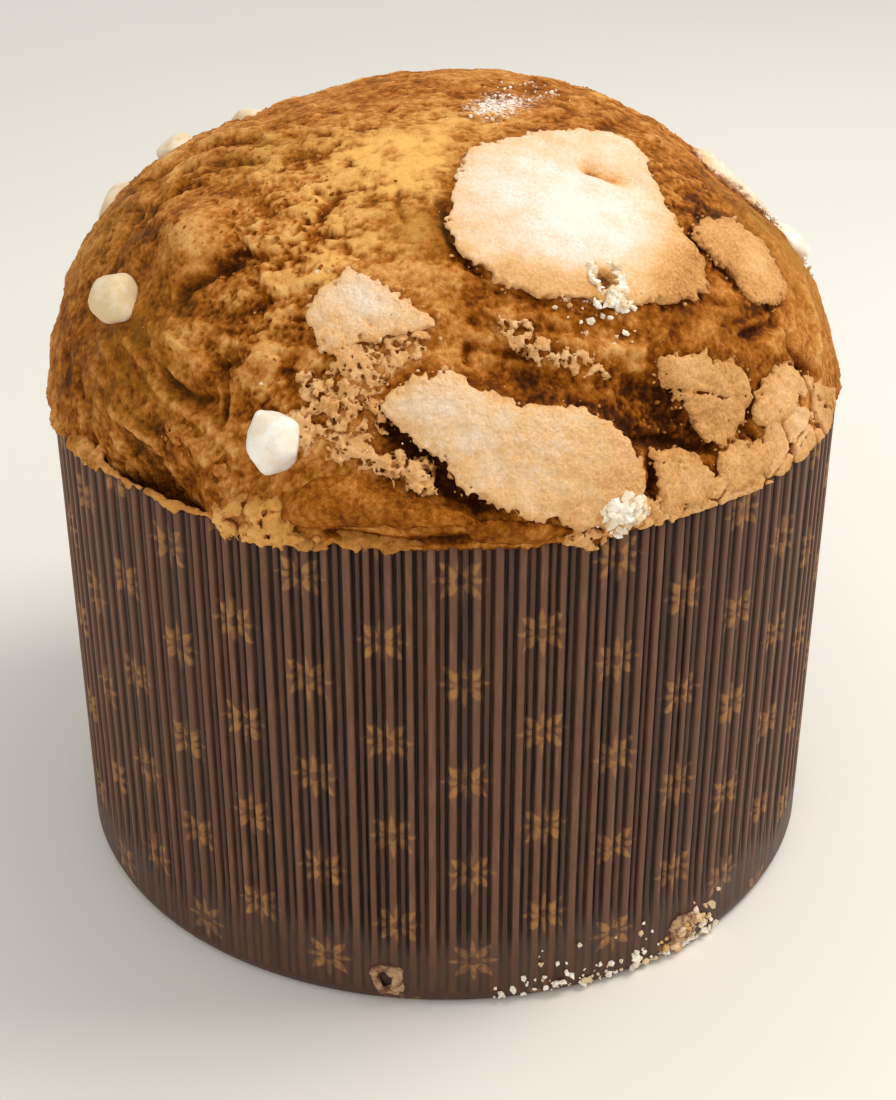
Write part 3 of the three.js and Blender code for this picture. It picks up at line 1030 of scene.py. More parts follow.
@dataclass(frozen=True)
class PaperFinish(Finish):
    """Dark corrugated baking paper with a print of small eight-petalled stars, with painted light on its
    ridges and painted shade in its grooves.
    """

    roughness: float = 0.5
    bump: float = 0.35
    # The first colour is painted shade in the grooves of the flutes, the second the paper as lit on their
    # ridges.
    groove_shade: Colour = (34, 13, 8)
    ridge: Colour = (112, 72, 49)
    worn: Colour = (136, 98, 76)
    print_colour: Colour = (168, 116, 60)
    column_turn: float = 10.25
    first_turn: float = 3.0
    drift: float = 0.0222
    drift_height: float = 57.0
    row_pitch: float = 22.6
    first_row: float = 102.0
    row_slope: float = 0.65
    star_radius: float = 5.6
    petal_start: float = 1.1
    petal_half: float = 1.6
    thin_share: float = 0.62
    petals: int = 8
    ring_radius: float = 1.5
    ring_half: float = 0.3

    def star(self, bench: Bench) -> Socket:
        """Lay out the print, in turns round the axis and heights.

        Args:
            bench: The material's bench.

        Returns:
            A mask of the print.
        """
        where = bench.node("ShaderNodeSeparateXYZ", {}, {0: bench.place()}).outputs
        front = bench.times(where[1], -1.0)
        turn = bench.times(bench.math("ARCTAN2", where[0], front), math.degrees(1))
        fall = bench.times(bench.less(where[2], self.drift_height), self.drift)
        along = bench.less(bench.plus(turn, fall), self.first_turn)
        columns = bench.math("DIVIDE", along, self.column_turn)
        column = bench.math("ROUND", columns)
        arc = MOULD_RADIUS * math.radians(self.column_turn)
        across = bench.times(bench.less(columns, column), arc)
        climb = bench.times(column, self.row_slope)
        height = bench.less(bench.less(where[2], self.first_row), climb)
        odd = bench.times(bench.math("FLOORED_MODULO", column, 2.0), 0.57)
        rows = bench.plus(bench.math("DIVIDE", height, self.row_pitch), odd)
        up = bench.times(bench.less(rows, bench.math("ROUND", rows)), self.row_pitch)
        squares = bench.plus(bench.times(across, across), bench.times(up, up))
        reach = bench.math("SQRT", squares)
        petal_turn = 2 * math.pi / self.petals
        spoke = bench.math("DIVIDE", bench.math("ARCTAN2", up, across), petal_turn)
        off = bench.times(bench.less(spoke, bench.math("ROUND", spoke)), petal_turn)
        aside = bench.math("ABSOLUTE", bench.times(reach, bench.math("SINE", off)))
        length = self.star_radius - self.petal_start
        share = bench.math("DIVIDE", bench.less(reach, self.petal_start), length)
        swelling = bench.math("POWER", bench.math("MAXIMUM", share, 0.0), 0.6)
        taper = bench.times(bench.less(1.0, share), swelling)
        slant = bench.math("FLOORED_MODULO", bench.math("ROUND", spoke), 2.0)
        breadth = bench.spread(slant, 0.0, 1.0, self.thin_share, 1.0)
        width = bench.times(bench.times(taper, breadth), 2 * self.petal_half)
        petal = bench.spread(bench.less(width, aside), -0.2, 0.45)
        petal = bench.times(petal, bench.spread(slant, 0.0, 1.0, 0.8, 1.0))
        off_ring = bench.math("ABSOLUTE", bench.less(reach, self.ring_radius))
        ring = bench.spread(off_ring, self.ring_half + 0.35, 0.1)
        return bench.math("MAXIMUM", petal, bench.times(ring, 0.8), clamp=True)

    def material(self) -> Material:
        """Build the material.

        Returns:
            The material.
        """
        material, bench, shader = self.start()
        where = bench.place()
        flute = bench.mask("flute")
        streaks = bench.node("ShaderNodeMapping", {}, {"Vector": where, "Scale": (1.0, 1.0, 0.12)}).outputs[0]
        fibre = bench.noise(streaks, 0.9, 4.0)
        cloud = Groups.use(bench, Groups.mottle(), {"Place": where, "Coarse": 0.08, "Fine": 0.5})[0]
        streak = bench.times(bench.less(fibre, 0.5), 0.85)
        # Painted light and shade: the flute mask lightens the ridges and darkens the grooves.
        lit = bench.plus(bench.times(flute, 0.92), streak, clamp=True)
        paper = bench.mix(lit, linear(self.groove_shade), linear(self.ridge))
        scuff = bench.plus(fibre, bench.times(cloud, 0.2))
        scuffed = bench.spread(bench.times(scuff, flute), 0.6, 0.85)
        paper = bench.mix(bench.times(scuffed, 0.5), paper, linear(self.worn))
        # The print fades in the grooves, as painted shade.
        inked = bench.times(self.star(bench), bench.spread(flute, 0.05, 0.75, 0.12, 0.95))
        faded = bench.times(inked, bench.spread(bench.noise(where, 1.5, 4.0), 0.3, 0.6, 0.4, 1.0))
        outside = bench.times(faded, bench.mask("outside"))
        bench.feed(shader.inputs["Base Color"], bench.mix(outside, paper, linear(self.print_colour)))
        rough = bench.spread(fibre, 0.3, 0.7, self.roughness - 0.06, self.roughness + 0.12)
        bench.feed(shader.inputs["Roughness"], rough)
        shader.inputs["Specular IOR Level"].default_value = 0.4
        bench.bump(shader, self.bump, 0.15, fibre)
        return material


@dataclass(frozen=True)
class TornPaperFinish(Finish):
    """The pale inside of the paper, where the skewers tore it."""

    roughness: float = 0.85
    bump: float = 0.5
    fibre: Colour = (190, 152, 112)
    stained: Colour = (120, 78, 52)

    def material(self) -> Material:
        """Build the material.

        Returns:
            The material.
        """
        material, bench, shader = self.start()
        where = bench.place()
        stain = bench.spread(bench.noise(where, 1.6, 4.0), 0.35, 0.65)
        bench.feed(shader.inputs["Base Color"], bench.mix(stain, linear(self.fibre), linear(self.stained)))
        height = Groups.use(bench, Groups.crumb(), {"Place": where, "Coarse": 1.5, "Fine": 4.0})[0]
        bench.bump(shader, self.bump, 0.2, height)
        return material


@dataclass(frozen=True)
class FloorFinish(Finish):
    """A plain pale floor."""

    roughness: float = 0.6
    pale: Colour = (242, 238, 232)
    shade: Colour = (238, 233, 226)

    def material(self) -> Material:
        """Build the material.

        Returns:
            The material.
        """
        material, bench, shader = self.start()
        cloud = bench.noise(bench.place(), 180.0, 2.0)
        bench.feed(shader.inputs["Base Color"], bench.mix(cloud, linear(self.pale), linear(self.shade)))
        return material


@dataclass
class Finishes:
    """The materials, each made once and shared."""

    crust: Material = field(default_factory=lambda: CrustFinish("baked_crust").material())
    glaze: Material = field(default_factory=lambda: GlazeFinish("almond_glaze").material())
    sugar: Material = field(default_factory=lambda: SugarFinish("pearl_sugar_white").material())
    paper: Material = field(default_factory=lambda: PaperFinish("printed_baking_paper").material())
    torn: Material = field(default_factory=lambda: TornPaperFinish("torn_paper").material())


# ---- Outlines on the dome ----


def smooth_loop(corners: Sequence[Point], steps: int = 8) -> Array:
    """Draw a closed smooth line through corners.

    Args:
        corners: The corners in order.
        steps: Points from each corner to the next.

    Returns:
        The points of the line.
    """
    knots = np.array(corners, float)
    before = np.roll(knots, 1, axis=0)
    after = np.roll(knots, -1, axis=0)
    beyond = np.roll(knots, -2, axis=0)
    share = (np.arange(steps) / steps)[None, :, None]
    a = knots[:, None]
    b = (after - before)[:, None] / 2
    d = (beyond - knots)[:, None] / 2
    gap = (after - knots)[:, None]
    curve = a + share * b + share**2 * (3 * gap - 2 * b - d) + share**3 * (b + d - 2 * gap)
    return curve.reshape(-1, 2)


def depth_inside(flat: Array, loop: Array) -> Array:
    """Measure how far places are inside a closed line.

    Args:
        flat: Places, one a row.
        loop: Points of the line.

    Returns:
        The distances, below nought outside.
    """
    nearest = np.full(len(flat), np.inf)
    inside = np.zeros(len(flat), bool)
    for start, end in zip(loop, np.roll(loop, -1, axis=0)):
        run = end - start
        from_start = flat - start
        share = np.clip(from_start @ run / (run @ run), 0, 1)
        nearest = np.minimum(nearest, np.linalg.norm(from_start - share[:, None] * run, axis=1))
        rising = (start[1] > flat[:, 1]) != (end[1] > flat[:, 1])
        crossing = start[0] + (flat[:, 1] - start[1]) * run[0] / (run[1] if run[1] else 1e-9)
        inside ^= rising & (flat[:, 0] < crossing)
    return np.where(inside, nearest, -nearest)


def distance_to_path(flat: Array, path: Sequence[Point]) -> Array:
    """Measure from places to an open line.

    Args:
        flat: Places, one a row.
        path: Corners of the line.

    Returns:
        The distances.
    """
    nearest = np.full(len(flat), np.inf)
    for start, end in zip(np.array(path, float), np.array(path[1:], float)):
        run = end - start
        share = np.clip((flat - start) @ run / (run @ run), 0, 1)
        nearest = np.minimum(nearest, np.linalg.norm(flat - start - share[:, None] * run, axis=1))
    return nearest


class Edge(Enum):
    """How a sheet on the dome breaks off at its edge."""

    RAGGED = "ragged"
    ROLLED = "rolled"
    LACY = "lacy"
    CLUMPED = "clumped"
    CRUMBLED = "crumbled"


@dataclass(frozen=True)
class EdgeWay:
    """Sizes of a kind of edge: how ragged, how rounded, how far it is hollow beneath, in millimetres."""

    ragged: float
    rounding: float
    hollow: float
    share_of_clump: float = 0.0


EDGE_WAYS = {
    Edge.RAGGED: EdgeWay(1.05, 0.36, 0.8),
    Edge.ROLLED: EdgeWay(0.3, 2.6, 1.4),
    Edge.LACY: EdgeWay(1.2, 0.8, 0.0),
    Edge.CLUMPED: EdgeWay(1.3, 0.9, 0.1, 0.62),
    Edge.CRUMBLED: EdgeWay(1.5, 1.2, 0.2, 0.7),
}


class Stuff(Enum):
    """What a sheet on the dome is made of."""

    GLAZE = "glaze"
    DOUGH = "crust"


@dataclass(frozen=True)
class Dent:
    """A hollow, or with a negative depth a bump, in a sheet, or a tint on it."""

    across: float
    along: float
    spread: float
    depth: float


@dataclass(frozen=True)
class SheetForm:
    """A sheet of glaze or dough that lies on the dome.

    Its middle is a bearing and a lift, and its corners are millimetres across and along from there.
    """

    name: str
    bearing: float
    lift: float
    thickness: float
    corners: Corners
    edge: Edge = Edge.RAGGED
    stuff: Stuff = Stuff.GLAZE
    tone: float = 0.5
    edge_tone: float = 0.2
    grainy: float = 0.0
    lumps: float = 0.15
    lump_size: float = 3.0
    pores: float = 0.0
    pore_size: float = 1.9
    cracks: float = 0.0
    gold: float = 0.0
    dents: tuple[Dent, ...] = ()
    tints: tuple[Dent, ...] = ()
    cuts: tuple[Corners, ...] = ()
    replaces: bool = False
    over_rim: bool = False


def marks(*rows: tuple[float, float, float, float]) -> tuple[Dent, ...]:
    """Make dents or tints from their places across and along, spreads and depths."""
    return tuple(Dent(*row) for row in rows)


# The usual looks of a patch of broken glaze and of a lace of glaze crumbs.
PATCH = dict(edge_tone=0.12, grainy=0.4, lumps=0.42, lump_size=2.6, pores=0.8, replaces=True)
LACE = dict(edge=Edge.LACY, tone=0.52, edge_tone=0.0, lumps=0.45, lump_size=1.5, pore_size=1.8)


def patch(*place: object, **looks: object) -> SheetForm:
    """Give a patch of broken glaze, with the usual looks unless others are given."""
    return SheetForm(*place, **PATCH | looks)


def lace(*place: object, **looks: object) -> SheetForm:
    """Give a lace of glaze crumbs, with the usual looks unless others are given."""
    return SheetForm(*place, **LACE | looks)


TOP_PLATE = SheetForm(
    "glaze_plate_top", 34, 49, 2.2,
    ((-29, 4), (-25, -11), (-12, -19), (9, -23), (17, -17), (18, -2), (26, 12), (24, 20), (8, 25), (-14, 22)),
    tone=0.25, edge_tone=0.16, grainy=0.4, lumps=0.24, lump_size=6, pores=0.6,
    dents=marks(
        (7.5, 7.5, 2.6, 2.6), (11, 5, 2.6, 1.9), (15, 2.5, 2.2, 1.1), (5, 3.4, 2.8, -1.2), (3, 8, 3, -0.5),
        (10, 12, 4, -0.5), (-7.4, -15.8, 1.7, 2.2), (-2, -4, 12, -0.5), (-22, 12, 10, 1.2),
        (4, 24, 12, 0.9), (-26, 2, 7, 0.6),
    ),
    # The tints at (7.5, 7.5), (12, 4.5) and (-7.4, -15.8) lie in the dents there: painted shade in those
    # hollows.
    tints=marks(
        (-4, -2, 15, -0.26), (7.5, 7.5, 3.2, 0.36), (12, 4.5, 3, 0.26), (14, -17, 9, 0.42),
        (4, -20, 6, 0.34), (-5, -18, 5, 0.2), (-7.4, -15.8, 2.1, 0.6), (-24, -8, 4.5, 0.26),
        (-17, -13, 5, 0.34), (-10, -17, 4.5, 0.26), (-27, 3, 4, 0.14), (8, 20, 9, 0.04), (19, -9, 4, 0.2),
    ),
    replaces=True,
)
FRONT_PLATE = SheetForm(
    "glaze_plate_front", 10, 20, 1.9,
    ((-25, 9), (-15, -2), (-8, -9), (8, -15), (23, -17), (24, -6), (19, 2), (12, 6), (-2, 8), (-12, 14)),
    tone=0.38, edge_tone=0.14, grainy=0.85, lumps=0.34, lump_size=2.4, pores=0.75,
    dents=marks((-20, 3, 3, 0.6), (2, 0, 9, -0.4)),
    tints=marks((19, -11, 8, 0.18), (-10, 6, 9, -0.14), (4, 1, 8, -0.04), (-22, 8, 4, -0.05)),
    replaces=True,
)
WEDGE = SheetForm(
    "glaze_wedge_left", -10, 34, 1.5,
    ((-12, 3), (-7, -5), (0, -3), (7, -1), (12, 1), (0, 9), (-6, 10)),
    tone=0.33, edge_tone=0.14, grainy=0.9, lumps=0.34, lump_size=2.4, pores=0.75,
    tints=marks((-1, 7, 5, -0.14), (0, -3, 3, 0.1)),
    replaces=True,
)
PLATES = (
    TOP_PLATE,
    FRONT_PLATE,
    WEDGE,
    patch(
        "glaze_plate_right", 61, 33, 1.5,
        ((-11, 5), (-9, 0), (-10, -5), (-3, -8), (6, -7), (9, 1), (6, 8), (-2, 12), (-10, 11)),
        tone=0.62, grainy=0.35, tints=marks((2, 0, 5, -0.1), (-8, 4, 4, 0.1)),
    ),
    SheetForm(
        "glaze_plate_back_right", 100, 36, 2,
        ((-9, 0), (-6, -6), (3, -8), (11, -5), (12, 4), (4, 9), (-6, 7)),
        tone=0.12, grainy=0.8, lumps=0.7, lump_size=4, replaces=True,
    ),
    SheetForm(
        "glaze_plate_back", 168, 37, 2,
        ((-17, 2), (-14, -9), (-2, -14), (11, -11), (17, 0), (12, 12), (-3, 15), (-13, 11)),
        tone=0.36, grainy=0.6, lumps=0.35, pores=0.5, dents=marks((3, 2, 4, 1.2)),
        tints=marks((-3, 3, 7, -0.14), (4, -10, 6, 0.14)), replaces=True,
    ),
    SheetForm(
        "glaze_plate_back_left", -142, 25, 1.8,
        ((-14, 2), (-10, -8), (2, -10), (12, -5), (15, 5), (5, 9), (-7, 9)),
        tone=0.46, grainy=0.8, lumps=0.35, pores=0.6, tints=marks((2, 1, 6, -0.12)), replaces=True,
    ),
    patch(
        "glaze_patch_high", 38, 21, 1.4,
        ((-8, 10), (-5, 0), (-1, -7), (5, -9), (10, -4), (11, 3)),
        tone=0.6, grainy=0.45, lumps=0.45, lump_size=2.2, pores=0.85,
        cuts=(((-6.5, 3.5), (-3.5, 2.5), (-0.5, 1.5), (2, 0.5), (4.5, -1), (6.5, -1)),),
        tints=marks((-1, 7, 4, -0.12)),
    ),
    patch(
        "glaze_patch_outer", 52, 17, 1.4,
        ((-6, 4), (-9, -1), (-4, -4), (5, -3), (10, 2), (4, 6)),
        tone=0.5, over_rim=True,
    ),
    patch(
        "glaze_patch_rim_left", 31, 12, 1.5,
        ((-5, 7), (-4, 0), (-7, -5), (2, -5), (8, -3), (9, 2), (2, 6)),
        tone=0.55, lumps=0.4, lump_size=2.4, pores=0.85, over_rim=True,
    ),
    patch(
        "glaze_patch_rim_right", 42.5, 11.5, 1.5,
        ((-6, 3), (-6, -3), (0, -4), (6, -3), (7, 0), (3, 4), (-2, 5)),
        tone=0.57, over_rim=True,
    ),
)

ROLLS = (
    SheetForm(
        "dough_tongue_front", -7, 12, 3.0,
        (
            (-19, 1.5), (-16, 5), (-9, 7.5), (2, 6), (10, 4), (18, 1), (27, -2), (16, -2), (2, -2.5),
            (-12, -3.5), (-20, -2.5),
        ),
        edge=Edge.ROLLED, stuff=Stuff.DOUGH, tone=0.6, lumps=0.5, lump_size=7,
        dents=marks(
            (-6, -2.2, 2, 0.7), (0, -1.8, 2, 0.7), (6, -1.4, 2, 0.8), (12, -1.4, 2, 0.9), (-12, 2, 4, -0.6),
        ),
        tints=marks((12, 1, 6, -0.02), (-5, 6, 4, -0.14), (-15, 1, 4, -0.12), (8, -2, 4, -0.08)),
    ),
    SheetForm(
        "dough_tongue_right", 10, 10, 2.6,
        ((-11, 4), (-1, 3), (7, 1), (10, -1.5), (4, -3), (-5, -3), (-11, -0.5)),
        edge=Edge.ROLLED, stuff=Stuff.DOUGH, tone=0.6, lumps=0.4, lump_size=6,
        tints=marks((3, -2, 3, -0.14)),
    ),
    SheetForm(
        "crust_knobs_rim", -22, 9, 3.0,
        ((-12.5, 0), (-6.5, 3.5), (-1.5, 6), (3.5, 5.5), (5, 2), (12, 0), (7, -3), (-2, -4), (-10.5, -4)),
        edge=Edge.CRUMBLED, stuff=Stuff.DOUGH, tone=0.22, edge_tone=0.1, lumps=1.2, lump_size=3.0, gold=0.4,
        tints=marks(
            (-9, -1, 3, -0.2), (-5, 2, 2, 0.16), (-2.5, -1, 2, -0.12), (1, 4, 2.4, 0.16), (3, 0, 2, -0.1),
            (7, 0, 4, 0.22),
        ),
        pore_size=3.0,
    ),
)

LACES = (
    lace(
        "crumb_lace_wedge", -10, 30, 1.4,
        (
            (-10.5, 5), (-8, -1), (-6.5, -6.5), (-2.5, -8.5), (1, -5.5), (6.5, -2), (11, 3), (11, 6),
            (5.5, 5), (0, 2.5), (-4.5, 4),
        ),
        pores=0.42,
    ),
    lace(
        "crumb_lace_left", -16, 25, 1.4,
        ((-4.5, 4), (-4, 0), (-2.5, -4), (1.5, -3), (5, -1), (2, 2), (-1, 4)),
        pores=0.36,
    ),
    lace(
        "crumb_lace_front", -8, 18, 1.4,
        (
            (-10, 5), (-9.5, 0.5), (-5.5, -1), (-0.5, -2.5), (4, -4.5), (10, -5), (10, 0.5), (4.5, 2.5),
            (1, 2.5), (-3, 5), (-6.5, 5.5),
        ),
        pores=0.45,
    ),
    lace(
        "crumb_by_nugget", -18, 20, 2.0,
        ((-2.5, 4.5), (-2.5, -4.5), (1.5, -3), (3, 0), (1.5, 4.5)),
        tone=0.46, edge_tone=0.05, lumps=0.4, pores=0.25, pore_size=1.7,
    ),
    lace(
        "crumb_chain_high", 16, 31, 1.3,
        (
            (-9, 6), (-9, 2.5), (-5.5, -0.5), (1.5, -4), (8.5, -7), (11.5, -5), (6.5, -1), (0.5, 1),
            (-2.5, 3.5), (-6, 6),
        ),
        tone=0.48, pores=0.5, pore_size=1.7,
    ),
    lace(
        "crumb_bridge_rim", 28, 9.5, 1.5,
        ((-4, 4), (-5.5, -2), (6, -3.5), (5, 1)),
        tone=0.56, edge_tone=0.05, lumps=0.4, lump_size=1.8, pores=0.3, pore_size=2.0, over_rim=True,
    ),
    lace(
        "crumb_under_plate", 18, 8.6, 2.0,
        ((-3.5, 2), (-3, -2), (2.5, -2.5), (5, 0.5)),
        tone=0.54, lumps=0.4, lump_size=1.8, pores=0.36, pore_size=2.0,
    ),
    lace(
        "crumb_scraps_centre", -11, 22, 1.5,
        ((-8, 4), (-8, -1), (0, -2), (7, 0), (8, 4), (3, 7), (-3, 7)),
        tone=0.54, lumps=0.3, pores=0.6, pore_size=1.7,
    ),
    SheetForm(
        "dough_flakes_cheek", -34, 16, 1.0,
        ((-9, 3), (-8, 0), (-1, -2), (7, -3), (9, 0), (4, 2), (-3, 3)),
        edge=Edge.CLUMPED, stuff=Stuff.DOUGH, tone=0.42, edge_tone=0.0, lumps=0.3, lump_size=2.0,
        pore_size=3.4,
    ),
    patch(
        "glaze_skirt_right", 47, 12.5, 1.1,
        (
            (-28, -5), (-27, -8), (-19, -9), (-2, -9), (13.5, -8), (34, -6), (38, 0), (32, 3), (19, 8.5),
            (6, 10), (1, 4), (-6, 1.5), (-14, -1), (-22, 0),
        ),
        tone=0.53, lumps=0.5, lump_size=3.0, pores=0.9, cracks=0.3,
        cuts=(
            ((-2, 4), (-3.5, -0.5), (-2, -4.5)),
            ((9, -7), (12, -3.5), (17, -2), (22, 0.5)),
            ((22, 4), (26, 0), (31, -2)),
        ),
        tints=marks((12, 2, 7, -0.14), (30, 0, 6, 0.12)), over_rim=True, replaces=False,
    ),
)


class Sheet:
    """Builds one sheet on the dome."""

    STEP = 0.37
    LACE_STEP = 0.3
    BED = 0.9
    MARGIN = 2.2
    LEAST_PART = 60
    FRAY = 2.6
    FRAY_SIZE = 3.4
    BAY_SIZE = 5.5
    CRUMB = 1.5
    CRACK_SPACING = 10
    CUT_HALF = 0.2
    TOOTH = 0.07

    def __init__(self, form: SheetForm, finishes: Finishes) -> None:
        """Take the form and the finishes."""
        self.form = form
        self.finishes = finishes
        self.way = EDGE_WAYS[form.edge]
        self.frame = DOME.frame(form.bearing, form.lift)
        self.loop = smooth_loop(form.corners)
        self.step = self.LACE_STEP if form.edge is Edge.LACY else self.STEP
        self.shift = np.array([form.bearing % 13, form.lift % 11, 4.1]) * 17

    def lumps(self, spots: Array) -> Array:
        """Give the sheet's own unevenness.

        Args:
            spots: Across, along and raised, one a row.

        Returns:
            The rise of its top in millimetres.
        """
        form = self.form
        shifted = spots * (1, 1, 0.4) + self.shift
        rise = form.lumps * GRAIN.layered(shifted, form.lump_size, 3)
        rise += self.TOOTH * GRAIN.smooth(shifted, 1.0)
        for dent in form.dents:
            away = np.hypot(spots[:, 0] - dent.across, spots[:, 1] - dent.along)
            rise -= dent.depth * bell(away, dent.spread)
        return rise

    def fray(self, shifted: Array, inside: Array) -> Array:
        """Give the crumbs that the edge breaks into.

        Args:
            shifted: Places in the sheet's own field.
            inside: Depth inside the outline at each.

        Returns:
            How far each place counts as further inside, in millimetres.
        """
        torn = CRUMB_GRAIN.layered(shifted, self.FRAY_SIZE, 3, 0.65)
        extra = self.way.ragged * (torn + 0.8 * GRAIN.smooth(shifted, self.BAY_SIZE))
        close = np.abs(inside) < self.FRAY
        near, _, level = CRUMB_GRAIN.cells(shifted[close], self.CRUMB)
        extra[close] += 0.75 * self.way.ragged * (0.6 + 0.5 * level - near)
        return extra

    def solid(self, spots: Array, inside: Array) -> Array:
        """Give the field that is above nought inside the sheet.

        Args:
            spots: Across, along and raised, one a row.
            inside: Depth inside the outline at each.

        Returns:
            The field in millimetres.
        """
        form, way = self.form, self.way
        shifted = spots + self.shift
        edge = inside + self.fray(shifted, inside)
        height = spots[:, 2]
        top = form.thickness * (1 - np.exp(-np.maximum(edge, 0) / way.rounding)) + self.lumps(spots)
        tuck = way.hollow * np.clip(1 - height / form.thickness, 0, 1.4) ** 2
        made = np.minimum(np.minimum(top - height, edge - tuck), height + self.BED)
        if form.cracks:
            warped = spots * (1, 1, 0) + 0.9 * GRAIN.smooth(shifted, 3)[:, None]
            near, far, _ = GRAIN.cells(warped + self.shift, self.CRACK_SPACING)
            made = np.minimum(made, (far - near) / 2 - form.cracks)
        if form.edge is Edge.LACY:
            crumbs = CRUMB_GRAIN.layered(shifted * (1, 1, 0.8), form.pore_size, 3, 0.7)
            rim = 0.5 * np.exp(-np.maximum(inside + 0.6, 0) / 1.2)
            made = np.minimum(made, 0.45 * form.pore_size * (1.6 * crumbs + 1 - 2 * form.pores - rim))
        elif form.pores:
            near, _, level = CRUMB_GRAIN.cells(shifted, form.pore_size)
            close = 0.2 + 0.8 * np.exp(-np.maximum(edge, 0) / 1.8)
            made = np.minimum(made, near - 0.5 * form.pore_size * form.pores * close * (0.4 + level))
        for path in form.cuts:
            away = distance_to_path(spots[:, :2], path)
            made = np.minimum(made, away - self.CUT_HALF - 0.45 * CRUMB_GRAIN.layered(shifted, 2.2, 3, 0.7))
        if form.over_rim:
            stand = self.frame.place(spots)[:, 2]
            made = np.minimum(made, stand - RIM_HEIGHT - 0.1 - 0.4 * GRAIN.smooth(shifted, 7))
        if way.share_of_clump:
            near, _, level = CRUMB_GRAIN.cells(shifted * (1, 1, 0.8), form.pore_size)
            rough = 0.3 * CRUMB_GRAIN.layered(shifted, self.CRUMB, 2, 0.7)
            reach = way.share_of_clump * form.pore_size * (0.55 + 0.7 * level)
            made = np.minimum(made, reach - near + rough)
        return made

    def build(self) -> Piece:
        """Build and dress the sheet.

        Returns:
            The piece.
        """
        form = self.form
        low = self.loop.min(axis=0) - self.MARGIN
        high = self.loop.max(axis=0) + self.MARGIN
        across = np.arange(low[0], high[0], self.step)
        along = np.arange(low[1], high[1], self.step)
        tall = form.thickness + 2.5 * form.lumps + 0.8
        raised = np.arange(-self.BED - 0.3, tall, self.step)
        flat = np.stack(np.meshgrid(across, along, indexing="ij"), axis=-1).reshape(-1, 2)
        inside = np.repeat(depth_inside(flat, self.loop), len(raised))
        grid = np.stack(np.meshgrid(across, along, raised, indexing="ij"), axis=-1).reshape(-1, 3)
        values = np.full(len(grid), -1.0)
        near = inside > -self.MARGIN
        values[near] = self.solid(grid[near], inside[near])
        shape = (len(across), len(along), len(raised))
        origin = np.array([across[0], along[0], raised[0]])
        points, faces = skin(values.reshape(shape), origin, self.step)
        points, faces = big_parts(points, faces, self.LEAST_PART)
        name = form.name + "_crust" if form.replaces else form.name
        piece = make_piece(name, self.frame.place(points), faces, self.masks(points))
        hand_over(piece, self.finish(), (form.name,) if form.replaces else ())
        return piece

    def finish(self) -> Material:
        """Pick the finish for what the sheet is made of."""
        return self.finishes.glaze if self.form.stuff is Stuff.GLAZE else self.finishes.crust

    def masks(self, points: Array) -> Masks:
        """Work out the tones.

        Args:
            points: Across, along and raised, one a row.

        Returns:
            The values that the finish reads.
        """
        form = self.form
        inside = depth_inside(points[:, :2], self.loop)
        tone = form.tone + form.edge_tone * np.exp(-np.maximum(inside, 0) / 1.6)
        # Darker towards the sheet's underside: painted shade beneath its edge.
        tone += 0.35 * smoothstep(points[:, 2], 0.4 * form.thickness, -0.2)
        tone += 0.05 * GRAIN.layered(points + self.shift, 6)
        for tint in form.tints:
            away = np.hypot(points[:, 0] - tint.across, points[:, 1] - tint.along)
            tone += tint.depth * bell(away, tint.spread)
        if form.stuff is Stuff.GLAZE:
            return glaze_masks(tone, form.grainy)
        return crust_masks(tone, form.gold)


# ---- The cake ----


@dataclass(frozen=True)
class Flow:
    """A stretch of crust whose wrinkles run one way, in degrees over level to the right."""

    bearing: float
    lift: float
    spread: float
    heading: float


FLOWS = (
    Flow(-50, 22, 20, -38),
    Flow(-30, 38, 16, 15),
    Flow(-75, 48, 24, 32),
    Flow(-45, 62, 20, 28),
    Flow(-5, 66, 22, 15),
    Flow(8, 32, 18, -14),
    Flow(45, 28, 18, -6),
    Flow(70, 38, 18, -50),
    Flow(82, 24, 14, 60),
    Flow(80, 62, 22, -30),
    Flow(120, 40, 34, 12),
    Flow(180, 40, 40, -15),
    Flow(-130, 35, 34, 22),
)

# How torn the crust is, over or under the usual.
TEARS = swells(
    (-36, 38, 11, 0.6), (-28, 50, 11, 0.45), (-60, 56, 12, 0.3), (-44, 12, 8, 0.5), (-22, 30, 8, 0.45),
    (-12, 24, 7, 0.3), (30, 21, 8, 0.5), (68, 46, 9, 0.5), (56, 38, 6, 0.4), (-70, 34, 8, 0.25),
    (140, 45, 18, 0.35), (-120, 40, 16, 0.35), (-47, 41, 5.5, -0.7), (-50, 24, 10, -0.35),
    (-10, 66, 10, -0.45), (-4, 48, 5, -0.3), (42, 29, 9, -0.45), (-6, 11, 9, -0.5), (80, 28, 15, -0.5),
    (20, 34, 6, -0.2),
)

